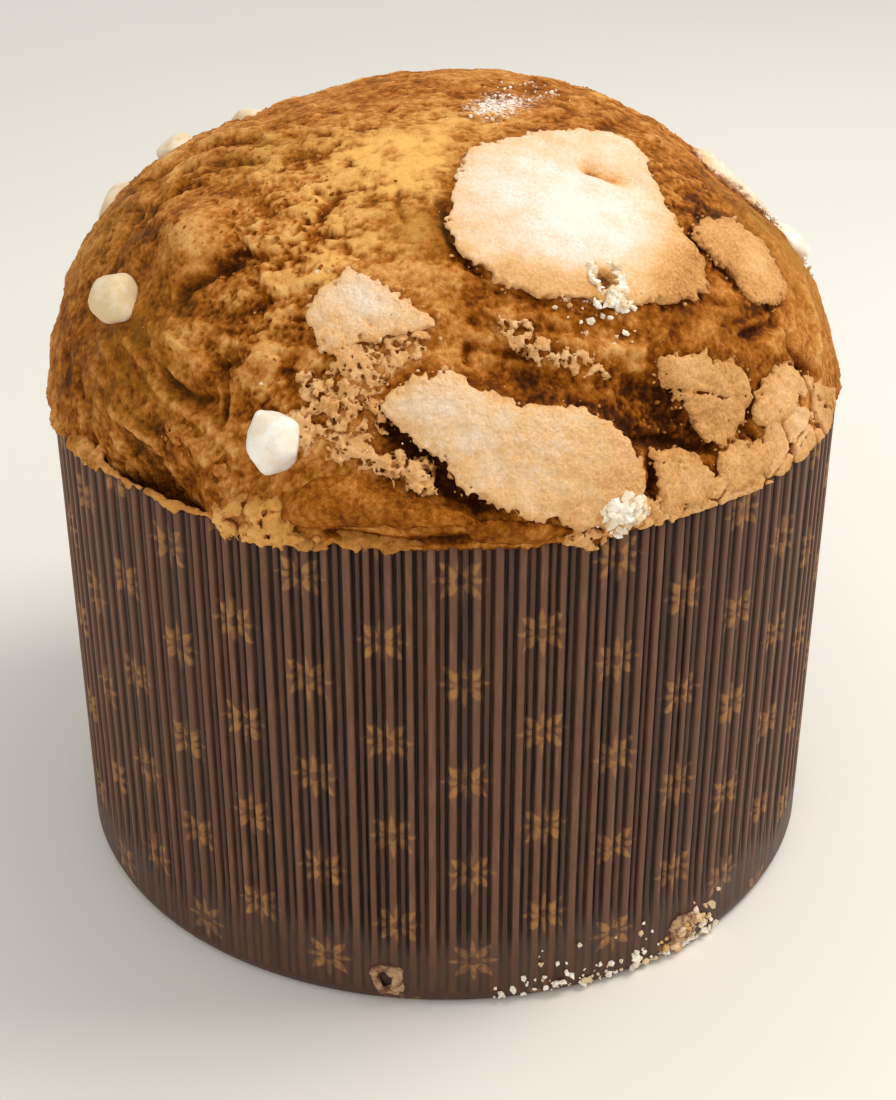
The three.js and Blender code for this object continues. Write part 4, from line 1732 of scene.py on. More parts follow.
# How much darker (above nought) or paler the crust is baked in places. Some are painted shade and light on
# the relief: darker in the dents and creases at (-38, 36.5), (-56, 35), (31, 19), (24, 24.5), (14, 27), (-6,
# 24) and (-3, 19), in the gap at the front left at (-42, 7) and on the shaded left cheek at (-62, 24) and
# (-48, 26), and paler on the lumps at (-47, 41) and (-25, 28).
BAKES_AND_SHADE = swells(
    (-30, 50, 9, -0.12), (-15, 43, 7, -0.16), (-1, 35, 6, -0.14), (-38, 36.5, 3, 0.2), (-56, 35, 3, 0.14),
    (-47, 60, 9, -0.06), (-62, 24, 14, 0.21), (-48, 26, 7, 0.07), (54, 38, 4, 0.14), (82, 31, 10, 0.13),
    (-42, 17, 10, 0.06), (-47, 41, 6, -0.24), (-42, 35, 4, 0.06), (-66, 41, 5, 0.2), (37, 30, 7, 0.07),
    (24, 31, 4.5, -0.1), (24, 24.5, 5, 0.22), (50, 29, 8, 0.08), (31, 19, 6, 0.28), (14, 27, 6, 0.2),
    (-6, 24, 6, 0.1), (-3, 19, 5, 0.2), (80, 24, 12, -0.03), (62, 30, 8, 0.04), (62, 20, 6, -0.1),
    (-82, 26, 10, -0.1), (-84, 46, 12, -0.02), (60, 38, 7, 0.14), (72, 48, 10, 0.06), (8, 46, 5, 0.14),
    (10, 76, 12, -0.06), (100, 72, 10, 0.1), (0, 41, 7, -0.02), (-14, 37, 6, -0.12), (-25, 28, 3, -0.12),
    (-42, 7, 6, 0.25),
)
GOLDS = swells(
    (-24, 54, 11, 0.35), (-16, 41, 5, 0.4), (-10, 64, 9, 0.95), (2, 58, 5, 0.45), (-20, 43, 5, 0.6),
    (-6, 45, 4, 0.35), (15, 78, 9, 0.35), (-35, 64, 9, 0.3), (-62, 54, 9, 0.2), (45, 72, 7, 0.2),
)
OLIVES = swells(
    (-6, 50, 4, 0.32), (-1, 48, 3.5, 0.2), (-50, 24, 12, 0.2), (82, 31, 11, 0.5), (-58, 58, 8, 0.25),
    (-78, 33, 9, 0.25),
)
DUSTS = swells((75, 78, 7, 0.34), (48, 77, 6, 0.3), (100, 72, 9, 0.27), (26, 33, 4, 0.16))


def tinted(out: Array, spots: Sequence[Swell]) -> Array:
    """Sum the tints that lie on the dome.

    Args:
        out: Directions, one a row.
        spots: Where each tint lies and how strong it is.

    Returns:
        One value for each direction.
    """
    total = np.zeros(len(out))
    for spot in spots:
        total += spot.height * spot.nearness(out)
    return total


@dataclass(frozen=True)
class CrustRelief:
    """The fine relief of the crust: wrinkles along the flows, torn crumb, creases and pits."""

    roll: float = 1.1
    roll_size: float = 11.0
    wrinkle: float = 0.75
    wrinkle_size: float = 4.6
    stretch: float = 2.2
    lump: float = 0.6
    torn: float = 0.9
    torn_size: float = 8.0
    flake: float = 0.55
    flake_size: float = 6.0
    crumb: float = 0.13
    crumb_size: float = 1.6
    pit: float = 0.9
    pit_spacing: float = 3.4
    patch_size: float = 7.0
    broad_size: float = 15.0
    usual_tear: float = 0.5

    def flows(self, out: Array, spots: Array) -> tuple[Array, Array, Array, Array]:
        """Lay rolls, wrinkles, torn flakes and torn crumb along the flows.

        Args:
            out: Directions from the hub.
            spots: Places on the plain dome.

        Returns:
            The rolls and the wrinkles, with crests at 1, the flakes' field and how near the cracks are.
        """
        rolls = np.zeros(len(out))
        flakes = np.zeros(len(out))
        crest = np.zeros(len(out))
        crack = np.zeros(len(out))
        weights = np.full(len(out), 1e-6)
        warp = np.stack([GRAIN.layered(spots + shift, 6, 2) for shift in (0, 50, 90)], axis=1)
        for flow in FLOWS:
            frame = DOME.frame(flow.bearing, flow.lift)
            weight = bell(degrees_between(out, frame.out), flow.spread)
            near = weight > 0.01
            heading = math.radians(flow.heading)
            run = frame.right * math.cos(heading) + frame.up * math.sin(heading)
            there = spots[near] + 1.5 * warp[near]
            along = (there @ run)[:, None] * run
            squeezed = there - (1 - 1 / self.stretch) * along
            split = GRAIN.layered(squeezed + 55, self.torn_size / 1.6, 3)
            rolls[near] += weight[near] * GRAIN.ridged(squeezed + 31, self.roll_size / 1.3, 2)
            crest[near] += weight[near] * GRAIN.ridged(squeezed, self.wrinkle_size / 1.2, 2, 0.5)
            flakes[near] += weight[near] * CRUMB_GRAIN.layered(squeezed + 70, self.flake_size, 4, 0.62)
            crack[near] += weight[near] * bell(split, 0.045)
            weights += np.where(near, weight, 0)
        return rolls / weights, crest / weights, flakes / weights, crack / weights

    def measure(self, out: Array, spots: Array) -> tuple[Array, Array]:
        """Work out the relief.

        Args:
            out: Directions from the hub.
            spots: Places on the plain dome.

        Returns:
            The rise in millimetres, and how deep each place lies between its neighbours, which the dome's
            tones use as painted shade.
        """
        rolls, crest, flakes, crack = self.flows(out, spots)
        tear = np.clip(self.usual_tear + tinted(out, TEARS), 0.05, 1.2)
        patchy = smoothstep(GRAIN.layered(spots + 11, self.patch_size, 3, 0.7), -0.3, 0.35)
        broken = tear * (0.25 + 0.75 * patchy)
        grit = CRUMB_GRAIN.layered(spots, self.crumb_size, 2, 0.8)
        near, _, level = CRUMB_GRAIN.cells(spots + 7, self.pit_spacing)
        pit = smoothstep(near, 1.2, 0.3) * (level > 0.6) * broken
        skin_left = smoothstep(flakes, -0.03, 0.12) + 0.6 * smoothstep(flakes, -0.3, -0.2) - 0.8
        step_edge = bell(flakes + 0.03, 0.05) + 0.6 * bell(flakes + 0.3, 0.05)
        rise = self.roll * (rolls - 0.65) + self.wrinkle * (crest - 0.6) * (0.4 + 0.8 * tear)
        rise += self.flake * skin_left * tear
        rise += self.lump * GRAIN.layered(spots + 40, self.broad_size, 2)
        rise += self.crumb * grit * (0.4 + tear)
        rise -= self.torn * crack * broken + self.pit * pit
        # How deep each place lies is painted shade: darker in the creases, cracks and pits, lighter on the
        # crests, the crumb and the raised lines.
        hollow = 0.5 * (0.65 - rolls) + 0.55 * (0.6 - crest) * (0.35 + 0.8 * tear)
        hollow += 0.32 * GRAIN.layered(spots + 130, 4.5, 2) * (0.3 + tear)
        hollow += 1.0 * crack * broken + 0.7 * pit - 0.3 * grit * (0.3 + tear)
        hollow += (0.42 * step_edge - 0.26 * skin_left) * tear
        for line in LINES:
            nearness = line.nearness(out)
            rise += line.height * (0.6 * nearness + 0.6 * nearness**4)
            hollow -= 0.5 * line.height * nearness**3
        return rise, hollow


@dataclass
class Cake:
    """The whole cake: a plain side inside the mould and the wrinkled dome over it."""

    finishes: Finishes
    relief: CrustRelief = field(default_factory=CrustRelief)
    row_step: float = 0.57
    column_step: float = 0.74
    crowding: float = 0.28
    lowest_lift: float = 8.4
    foot: float = 1.3
    foot_edge: float = 4.0
    neck: float = 107.2
    neck_depth: float = 20.0
    overhang: float = 0.9
    usual_bake: float = 0.45
    # The hidden side is dark with painted shade, which shows through the skewer holes and in the gap under
    # the dome.
    side_shade: float = 0.85
    cloud_size: float = 12.0
    rag_size: float = 5.0
    # The painted shade that rings the plates: its width and how much darker it makes the crust.
    halo_width: float = 2.4
    halo_shade: float = 0.16

    def turns(self, count: int) -> Array:
        """Give the bearings of a ring, which crowd towards the front."""
        share = np.arange(count) / count
        return np.degrees(2 * np.pi * share - self.crowding * np.sin(2 * np.pi * share))

    def dome(self) -> tuple[Array, list[int]]:
        """Work out the rings of the dome.

        Returns:
            Directions and the rings' counts.
        """
        rows = []
        counts = []
        lift = self.lowest_lift
        while lift < 90:
            distance = DOME.reach(directions(0.0, lift))[0]
            radius = distance * math.cos(math.radians(lift))
            count = max(int(2 * math.pi * radius / self.column_step), 6)
            rows.append(directions(self.turns(count), lift))
            counts.append(count)
            lift += math.degrees(self.row_step / distance)
        rows.append(directions(0.0, 90.0))
        counts.append(1)
        return np.concatenate(rows), counts

    def masks(self, out: Array, hollow: Array, spots: Array) -> Masks:
        """Work out the tones of the dome, with painted shade in its hollows and round the plates.

        Args:
            out: Directions from the hub.
            hollow: How deep each place lies, painted as shade.
            spots: Places on the dome.

        Returns:
            The values that the finish reads.
        """
        bake = self.usual_bake + tinted(out, BAKES_AND_SHADE) + 0.1 * GRAIN.layered(spots + 80, self.cloud_size, 3)
        # Painted shade: darker where the crust lies deep between its neighbours, lighter on its crests.
        bake += 0.5 * hollow
        # Painted shade round the plates: the crust darkens within a few millimetres of each plate's outline.
        halo = np.zeros(len(out))
        for form in PLATES:
            flat = DOME.frame(form.bearing, form.lift).find(out)
            close = np.abs(flat).max(axis=1) < 45
            outside = np.maximum(-depth_inside(flat[close], smooth_loop(form.corners)), 0)
            halo[close] = np.maximum(halo[close], bell(outside, self.halo_width))
        bake += self.halo_shade * halo
        ragged = 0.9 * GRAIN.layered(spots + 23, self.rag_size, 4, 0.7)
        # The golden tint is taken out of the hollows and round the plates, as painted shade.
        gold = tinted(out, GOLDS) * (1 + ragged) - 1.6 * np.maximum(hollow, 0) - 0.6 * halo
        return {
            "bake": np.clip(bake, 0, 1),
            "gold": np.clip(gold, 0, 1),
            "olive": np.clip(tinted(out, OLIVES) * (1 + ragged), 0, 1),
            "dust": np.clip(tinted(out, DUSTS), 0, 1),
        }

    def build(self) -> Piece:
        """Build and dress the cake.

        Returns:
            The piece.
        """
        out, counts = self.dome()
        reach = DOME.fine_reach(out)
        rise, hollow = self.relief.measure(out, DOME.stand(out, reach))
        spots = DOME.stand(out, reach + rise)
        masks = self.masks(out, hollow, spots)
        first = counts[0]
        level = directions(self.turns(first), 0.0)
        rim = np.hypot(spots[:first, 0], spots[:first, 1])
        shrunk = np.maximum(CAKE_SIDE - (rim - self.overhang), 0)
        rings = [np.array([[0, 0, self.foot]])]
        sides = (
            (self.foot_edge, 0.0, self.foot),
            (0.0, 0.0, self.foot + self.foot_edge),
            (0.0, 0.0, self.neck - self.neck_depth),
            (0.0, 0.35, self.neck - self.neck_depth / 2),
            (0.0, 0.8, self.neck - self.neck_depth / 5),
            (0.0, 1.0, self.neck),
        )
        for inward, share, height in sides:
            rings.append(level * (CAKE_SIDE - inward - share * shrunk)[:, None] + (0, 0, height))
        points = np.concatenate(rings + [spots])
        faces = zip_rings([1] + [first] * len(sides) + counts)
        lower = len(points) - len(spots)
        for key, values in masks.items():
            masks[key] = np.concatenate([np.full(lower, self.side_shade if key == "bake" else 0.0), values])
        piece = make_piece("cake_crust", points, faces, masks)
        hand_over(piece, self.finishes.crust, ("cake",))
        return piece


# ---- The paper mould ----


@dataclass
class PaperMould:
    """The fluted paper mould: an outer fluted wall, a plain liner and a flat base."""

    finishes: Finishes
    flutes: int = 131
    half_samples: tuple[float, ...] = (0.09, 0.16, 0.2, 0.24, 0.29, 0.33, 0.38)
    depth: float = 1.2
    floor: float = 1.0
    edge: float = FOOT_ROUNDING
    heights: tuple[float, ...] = (4, 7, 9.5, 12, 14.5, 17, 20, 24, 30, 38, 47, 56, 66, 76, 86, 95, 102, 107)
    fade_start: float = 9.0
    fade_end: float = 22.0
    wave: float = 0.5
    skewer: float = 1.6
    skewer_height: float = 6.2
    skewer_depth: float = 11.0
    skewer_places: tuple[float, ...] = (-11.8, 51.0)

    def rim(self, turn: Array) -> Array:
        """Give the height of the rim.

        Args:
            turn: Shares of a full turn.

        Returns:
            Heights in millimetres.
        """
        angle = turn * 2 * np.pi
        wave = np.sin(3 * angle + 1) + 0.6 * np.sin(7 * angle + 2.4) + 0.4 * np.sin(13 * angle)
        return RIM_HEIGHT + self.wave * wave / 2

    def profile(self, share: Array) -> Array:
        """Give the height of a flute over its grooves.

        Args:
            share: Place within the pitch, from 0 to 1.

        Returns:
            0 in a groove, up to 1 on the ridge.
        """
        ridge = smoothstep(np.abs(share - 0.5), 0.28, 0.13)
        between = 0.62 * smoothstep(np.minimum(share, 1 - share), 0.21, 0.08)
        return np.maximum(ridge, between)

    def rows(self, turn: Array, ridge: Array) -> tuple[list[Array], list[Array], list[Array]]:
        """Work out the rings from the base, up the outside and down the inside.

        Args:
            turn: Shares of a full turn.
            ridge: Height of the flute there.

        Returns:
            The rings, how bright each point is, and whether it is outside.
        """
        count = len(turn)
        out = directions(turn * 360, 0.0)
        ring = out * MOULD_RADIUS
        each = 0.24 * GRAIN.smooth(ring * 3, 9) + 0.16 * GRAIN.smooth(ring * 7 + 5, 12)
        rows = [np.zeros((1, 3))]
        flute = [np.zeros(1)]
        outside = [np.zeros(1)]
        corner = self.edge * (1 - math.sqrt(0.5))
        for inset, height in ((self.edge, 0.0), (corner, corner), (0.0, self.edge)):
            rows.append(out * (MOULD_RADIUS - inset) + (0, 0, height))
            flute.append(np.full(count, 0.4))
            outside.append(np.ones(count))
        for height in (*self.heights, None):
            level = self.rim(turn) if height is None else np.full(count, float(height))
            spots = out * MOULD_RADIUS + level[:, None] * UP
            fade = smoothstep(level + 5 * GRAIN.smooth(ring, 14), self.fade_start, self.fade_end)
            sag = 0.18 * GRAIN.layered(spots * (1, 1, 0.6), 9, 2)
            inward = self.depth * fade * (1 - ridge) - np.minimum(sag, 0.0) * 0.5
            rows.append(out * (MOULD_RADIUS - inward)[:, None] + level[:, None] * UP)
            flute.append(np.clip(0.4 + (ridge**1.6 + each - 0.4) * (0.35 + 0.65 * fade) + 0.3 * sag, 0, 1))
            outside.append(np.ones(count))
        inner = MOULD_RADIUS - WALL
        for inset, height in ((0.0, None), (0.0, self.floor + self.edge), (self.edge, self.floor)):
            level = self.rim(turn) if height is None else np.full(count, float(height))
            rows.append(out * (inner - inset) + level[:, None] * UP)
            flute.append(np.full(count, 0.6))
            outside.append(np.zeros(count))
        rows.append(np.array([[0, 0, self.floor]]))
        flute.append(np.zeros(1))
        outside.append(np.zeros(1))
        return rows, flute, outside

    def pierce(self, piece: Piece) -> None:
        """Cut the skewer holes through the front and the back wall.

        Args:
            piece: The mould.
        """
        sides = 14
        turn = np.radians(np.arange(sides) * 360 / sides)
        ring = np.column_stack([np.cos(turn), 0 * turn, np.sin(turn)]) * self.skewer
        points = []
        faces = []
        for across in self.skewer_places:
            for side in (-1, 1):
                middle = np.array([across, side * math.sqrt(MOULD_RADIUS**2 - across**2), self.skewer_height])
                start = np.array([0, -self.skewer_depth / 2, 0])
                faces.append(zip_rings([1, sides, sides, 1]) + sum(len(part) for part in points))
                points.append(np.concatenate([[start], ring + start, ring - start, [-start]]) + middle)
        peg = make_piece("skewer_peg", np.concatenate(points), np.concatenate(faces))
        cut = piece.modifiers.new("hole", "BOOLEAN")
        cut.operation = "DIFFERENCE"
        cut.solver = "EXACT"
        cut.object = peg
        graph = bpy.context.evaluated_depsgraph_get()
        piece.data = bpy.data.meshes.new_from_object(piece.evaluated_get(graph))
        piece.modifiers.clear()
        bpy.data.objects.remove(peg)

    def tears(self) -> None:
        """Build the torn lips round the skewer holes."""
        for across in self.skewer_places:
            for side, word in ((-1, "front"), (1, "back")):
                reach = math.sqrt(MOULD_RADIUS**2 - across**2)
                turn = math.degrees(math.atan2(across, -side * reach))
                name = f"paper_tear_{word}_{'left' if across < 0 else 'right'}"
                hand_over(PaperTear(name, turn, self.skewer_height).build(), self.finishes.torn)

    def build(self) -> Piece:
        """Build and dress the mould.

        Returns:
            The piece.
        """
        samples = (0.0, *self.half_samples, 0.5, *(round(1 - share, 2) for share in self.half_samples[::-1]))
        share = np.tile(samples, self.flutes)
        index = np.repeat(np.arange(self.flutes), len(samples))
        turn = (index + share) / self.flutes
        ridge = self.profile(share)
        wander = 0.22 * GRAIN.smooth(directions(turn * 360, 0.0) * MOULD_RADIUS * 3, 22)
        rows, flute, outside = self.rows(turn + wander / self.flutes, ridge)
        faces = zip_rings([len(row) for row in rows])
        masks = {"flute": np.concatenate(flute), "outside": np.concatenate(outside)}
        piece = make_piece("paper_mould_fluted", np.concatenate(rows), faces, masks)
        self.pierce(piece)
        hand_over(piece, self.finishes.paper, ("paper_mould",))
        self.tears()
        return piece


@dataclass(frozen=True)
class PaperTear:
    """The ragged lip that a skewer pushed up round its hole in the paper."""

    name: str
    turn: float
    height: float
    half: float = 3.4
    hole: float = 1.7
    thickness: float = 0.9
    step: float = 0.3
    margin: float = 1.5
    bed: float = 0.6
    lip_width: float = 1.3
    fray: float = 0.8
    fray_size: float = 2.4
    lowest: float = 0.2
    least_part: int = 40

    def build(self) -> Piece:
        """Build the lip.

        Returns:
            The piece.
        """
        flat = np.arange(-self.half - self.margin, self.half + self.margin, self.step)
        deep = np.arange(-0.9, self.thickness + 0.9, self.step)
        grid = np.stack(np.meshgrid(flat, flat, deep, indexing="ij"), axis=-1).reshape(-1, 3)
        shifted = grid + self.turn
        rough = self.fray * CRUMB_GRAIN.layered(shifted, self.fray_size, 3, 0.6)
        square = (np.abs(grid[:, 0]) ** 4 + np.abs(grid[:, 1]) ** 4) ** 0.25
        round_hole = np.hypot(grid[:, 0] + 0.3, (grid[:, 1] - 0.2) * 0.8)
        side = np.minimum(self.half - square, round_hole - self.hole) + rough
        lip = self.thickness * (0.55 + 0.9 * bell(round_hole - self.hole, self.lip_width)) + 0.4 * rough
        made = np.minimum(np.minimum(side, lip - grid[:, 2]), grid[:, 2] + self.bed)
        origin = np.array([flat[0], flat[0], deep[0]])
        points, faces = skin(made.reshape(len(flat), len(flat), len(deep)), origin, self.step)
        points, faces = big_parts(points, faces, self.least_part)
        out = directions(self.turn + np.degrees(points[:, 0] / MOULD_RADIUS), 0.0)
        lean = np.maximum(-points[:, 1] + self.half * 0.4 - self.height + 2.5, 0) * 0.2
        spots = out * (MOULD_RADIUS + points[:, 2] - lean)[:, None]
        spots[:, 2] = np.maximum(self.height + points[:, 1], self.lowest)
        return make_piece(self.name, spots, faces)


@dataclass(frozen=True)
class RimStretch:
    """A stretch of crust that runs over the rim of the mould, from one bearing to another."""

    name: str
    start: float
    end: float
    drop: float
    thickness: float
    lumps: float
    bake: float
    gold: float = 0.0
    breaks: float = 0.0
    climb: float = 1.6


RIM_STRETCHES = (
    RimStretch("rim_crust_left", -88, -50, 0.9, 1.5, 1.7, 0.42, 0.12, 0.08),
    RimStretch("rim_crust_gap", -60, -25, 0.5, 0.45, 0.8, 0.42, 0.3, 0.03, 0.4),
    RimStretch("rim_crust_front", -24, -1, 2.4, 0.6, 1.1, 0.54, 0.2),
    RimStretch("rim_crust_front_right", 6, 25, 0.3, 0.8, 0.7, 0.6),
    RimStretch("rim_crust_right", 76, 124, 0.6, 1.3, 1.1, 0.55, 0.1, 0.2),
    RimStretch("rim_crust_back", 130, 236, 1.2, 1.4, 1.3, 0.58, 0.1, 0.15),
    RimStretch("rim_crust_back_left", 242, 268, 0.8, 1.6, 1.3, 0.55, 0.1, 0.1),
)


@dataclass
class RimCrust:
    """Builds the thin crust that baked over the rim."""

    finishes: Finishes
    step: float = 0.4
    inward: float = 2.6
    outward: float = 3.2
    headroom: float = 3.6
    end_fade: float = 9.0
    least_part: int = 50

    def build(self, stretch: RimStretch) -> Piece:
        """Build and dress one stretch.

        Args:
            stretch: Where it runs and how it looks.

        Returns:
            The piece.
        """
        arc = np.arange(0, MOULD_RADIUS * math.radians(stretch.end - stretch.start), self.step)
        wide = np.arange(-self.inward, self.outward, self.step)
        high = np.arange(-stretch.drop - 2.5, self.headroom, self.step)
        grid = np.stack(np.meshgrid(arc, wide, high, indexing="ij"), axis=-1).reshape(-1, 3)
        turn = np.radians(stretch.start) + grid[:, 0] / MOULD_RADIUS
        around = np.stack([np.sin(turn) * MOULD_RADIUS, -np.cos(turn) * MOULD_RADIUS, 0 * turn], axis=1)
        ends = smoothstep(np.minimum(grid[:, 0], arc[-1] - grid[:, 0]), 0, self.end_fade)
        slow = GRAIN.layered(around, 16, 2)
        fringe = GRAIN.layered(around + 30, 6, 3, 0.8)
        drop = np.maximum(stretch.drop * (0.6 + 0.9 * slow) + 1.3 * fringe, 0) * ends
        climb = np.maximum(stretch.climb * (1 + GRAIN.layered(around + 90, 7, 3, 0.7)), 0.2) * ends
        over = self.away(grid[:, 1:], (0.0, 0.4), (-1.2, 1.4), climb)
        down = self.away(grid[:, 1:], (0.0, 0.5), (0.45, -1.0), drop)
        rough = CRUMB_GRAIN.layered(grid + 9 * stretch.start, 3.4, 4, 0.65)
        thick = stretch.thickness * (0.2 + 0.8 * ends) / 2 + 0.45 * stretch.lumps * rough
        made = thick + 0.15 - np.minimum(over, down)
        if stretch.breaks:
            gaps = GRAIN.layered(around + 60, 9, 2) + 0.5 - stretch.breaks * 2
            made = np.minimum(made, 3 * gaps)
        shape = (len(arc), len(wide), len(high))
        points, faces = skin(made.reshape(shape), np.array([arc[0], wide[0], high[0]]), self.step)
        points, faces = big_parts(points, faces, self.least_part)
        turn = np.radians(stretch.start) + points[:, 0] / MOULD_RADIUS
        out = directions(np.degrees(turn), 0.0)
        rim = PaperMould(self.finishes).rim(turn / (2 * np.pi))
        spots = out * (MOULD_RADIUS + points[:, 1])[:, None] + (rim + points[:, 2])[:, None] * UP
        tone = stretch.bake + 0.2 * GRAIN.layered(spots, 5, 3) - 0.12 * CRUMB_GRAIN.layered(spots, 1.8, 2)
        piece = make_piece(stretch.name, spots, faces, crust_masks(tone, stretch.gold))
        hand_over(piece, self.finishes.crust)
        return piece

    def away(self, spots: Array, start: Point, end: Point, length: Array | None = None) -> Array:
        """Measure from places in the rim's cross-section to a line in it.

        Args:
            spots: Outward and up from the rim's outer top edge.
            start: Where the line starts.
            end: Where it ends, or which way it runs when a length is given.
            length: How long the line is at each place.

        Returns:
            The distances in millimetres.
        """
        run = np.array(end) - start
        size = np.linalg.norm(run)
        along = np.clip((spots - start) @ run / size, 0, size if length is None else length)
        return np.linalg.norm(spots - start - along[:, None] * run / size, axis=1)


# ---- Pearl sugar ----


@dataclass(frozen=True)
class Nugget:
    """One nugget of pearl sugar: its place, its width, height and thickness, and its facets."""

    name: str
    bearing: float
    lift: float
    size: Spot
    facets: int
    warmth_and_shade: float = 0.1
    sunk: float = 0.38


# The number after the facets is the warmth, which turns a nugget tan: on the left nugget it is partly its own
# yellow and partly painted shade.
NUGGETS = (
    Nugget("sugar_nugget_left", -56.5, 29, (12.5, 10.8, 9), 1, 0.75),
    Nugget("sugar_nugget_front", -21.5, 19.3, (11.5, 12, 8), 2, 0.0),
    Nugget("sugar_nugget_back_left_top", -124, 48, (9, 10, 7), 3, 0.6, 0.75),
    Nugget("sugar_nugget_back_left_high", -106, 42, (10, 9, 7), 4, 0.6, 0.6),
    Nugget("sugar_nugget_back_left_low", -97, 32, (9, 11, 7), 5, 0.6, 0.65),
    Nugget("sugar_nugget_back_right", 93, 26, (10, 11, 7), 6, 0.1, 0.5),
    Nugget("sugar_nugget_back_mid", -170, 25, (11, 10, 7), 7),
    Nugget("sugar_nugget_back_low", 134, 22, (10, 10, 7), 8),
)


@dataclass
class PearlSugar:
    """Builds the nuggets, which are rounded lumps with a few flat faces."""

    finishes: Finishes
    faces: int = 12
    crispness: float = 8
    irregularity: float = 0.22
    rings: int = 26

    def facets(self, number: int) -> tuple[Array, Array]:
        """Give the flat faces of a nugget.

        Args:
            number: The number that sets its facets.

        Returns:
            The faces' directions and distances.
        """
        index = np.arange(self.faces)
        height = 1 - 2 * (index + 0.5) / self.faces
        level = np.sqrt(1 - height**2)
        round_turn = np.pi * (3 - math.sqrt(5)) * index + number
        normals = np.stack([level * np.cos(round_turn), level * np.sin(round_turn), height], axis=1)
        jostle = np.sin(12.9 * (index + 1) + 78.2 * number)
        return normals, 1 - self.irregularity * jostle**2

    def build(self, nugget: Nugget) -> Piece:
        """Build and dress a nugget.

        Args:
            nugget: The nugget.

        Returns:
            The piece.
        """
        rows = []
        for lift in np.linspace(-90, 90, self.rings):
            count = max(int(2 * self.rings * math.cos(math.radians(lift))), 1)
            rows.append(directions(np.arange(count) * 360 / count, float(lift)))
        out = np.concatenate(rows)
        normals, distances = self.facets(nugget.facets)
        parts = np.maximum(out @ normals.T, 0) / distances
        reach = (parts**self.crispness).sum(axis=1) ** (-1 / self.crispness)
        reach += 0.035 * GRAIN.layered(out * 4 + nugget.facets * 9, 2.4, 3)
        spot = out * reach[:, None] / 2 * nugget.size
        spot[:, 2] = np.maximum(spot[:, 2] + nugget.size[2] * (0.5 - nugget.sunk), -0.6)
        points = DOME.frame(nugget.bearing, nugget.lift).place(spot)
        masks = {"warmth_and_shade": np.full(len(points), nugget.warmth_and_shade)}
        piece = make_piece(nugget.name + "_lump", points, zip_rings([len(row) for row in rows]), masks)
        hand_over(piece, self.finishes.sugar, (nugget.name,))
        return piece


@dataclass(frozen=True)
class Scatter:
    """A patch of loose sugar grains on the dome: its middle, its spread and its grains."""

    bearing: float
    lift: float
    across: float
    along: float
    count: int
    least: float
    most: float
    stand: float = 0.2
    ring: bool = False


SCATTERS = (
    Scatter(28, 37.4, 2.3, 3.1, 110, 1.0, 2.1, 1.4, True),
    Scatter(27.6, 34.6, 2.4, 1.3, 60, 1.0, 2.3, 1.3),
    Scatter(23, 11, 3.1, 1.7, 80, 1.2, 2.4, 1.4),
    Scatter(22.7, 10.8, 2.6, 1.4, 46, 1.2, 2.2, 2.1),
    Scatter(22.2, 8.8, 1.6, 0.9, 24, 0.8, 1.7, 0.9),
    Scatter(25.2, 33, 3, 1.2, 7, 0.4, 1.3),
    Scatter(28, 30.6, 3, 1.6, 6, 0.4, 1.1),
    Scatter(21.5, 31.8, 2, 1.4, 5, 0.3, 0.9),
    Scatter(22.5, 35.5, 3, 1.2, 9, 0.4, 1.3),
    Scatter(24, 11.2, 4, 1.4, 12, 0.3, 1.1, 1.2),
    Scatter(20, 9.4, 4, 1.2, 8, 0.3, 1.0, 0.6),
    Scatter(49, 80, 8, 4, 34, 0.2, 0.7),
    Scatter(40, 75.5, 6, 3, 24, 0.2, 0.8),
    Scatter(98, 78, 9, 4, 30, 0.2, 0.7),
    Scatter(110, 70, 8, 4, 34, 0.2, 0.8),
    Scatter(97, 32, 6, 5, 60, 0.4, 1.4, 0.8),
    Scatter(92, 24, 5, 3, 24, 0.4, 1.3),
    Scatter(-20.3, 40, 0.7, 0.4, 4, 0.6, 1.3),
    Scatter(-24.8, 25.5, 0.4, 0.3, 2, 0.3, 0.6),
    Scatter(4, 22, 11, 4, 60, 0.15, 0.34, 1.5),
    Scatter(-10, 35, 6, 3, 40, 0.15, 0.34, 1.1),
    Scatter(168, 38, 10, 8, 60, 0.15, 0.4, 1.6),
    Scatter(-142, 26, 8, 5, 40, 0.15, 0.4, 1.5),
)


GOLDEN = (1 + math.sqrt(5)) / 2
SIGNS = [(a, b) for a in (-1, 1) for b in (-GOLDEN, GOLDEN)]
GRAIN_CORNERS = np.array([place for a, b in SIGNS for place in ((0, a, b), (a, b, 0), (b, 0, a))])
GRAIN_POINTS = len(GRAIN_CORNERS)


def grain_faces() -> Array:
    """List the triangles of a grain, which join corners that lie two apart.

    Returns:
        Three corners a row, anticlockwise from outside.
    """
    faces = []
    for corners in combinations(range(GRAIN_POINTS), 3):
        first, second, third = GRAIN_CORNERS[list(corners)]
        sides = (first - second, second - third, third - first)
        if max(np.linalg.norm(side) for side in sides) < 2.1:
            outward = np.dot(np.cross(second - first, third - first), first) > 0
            faces.append(corners if outward else corners[::-1])
    return np.array(faces)


GRAIN_FACES = grain_faces()


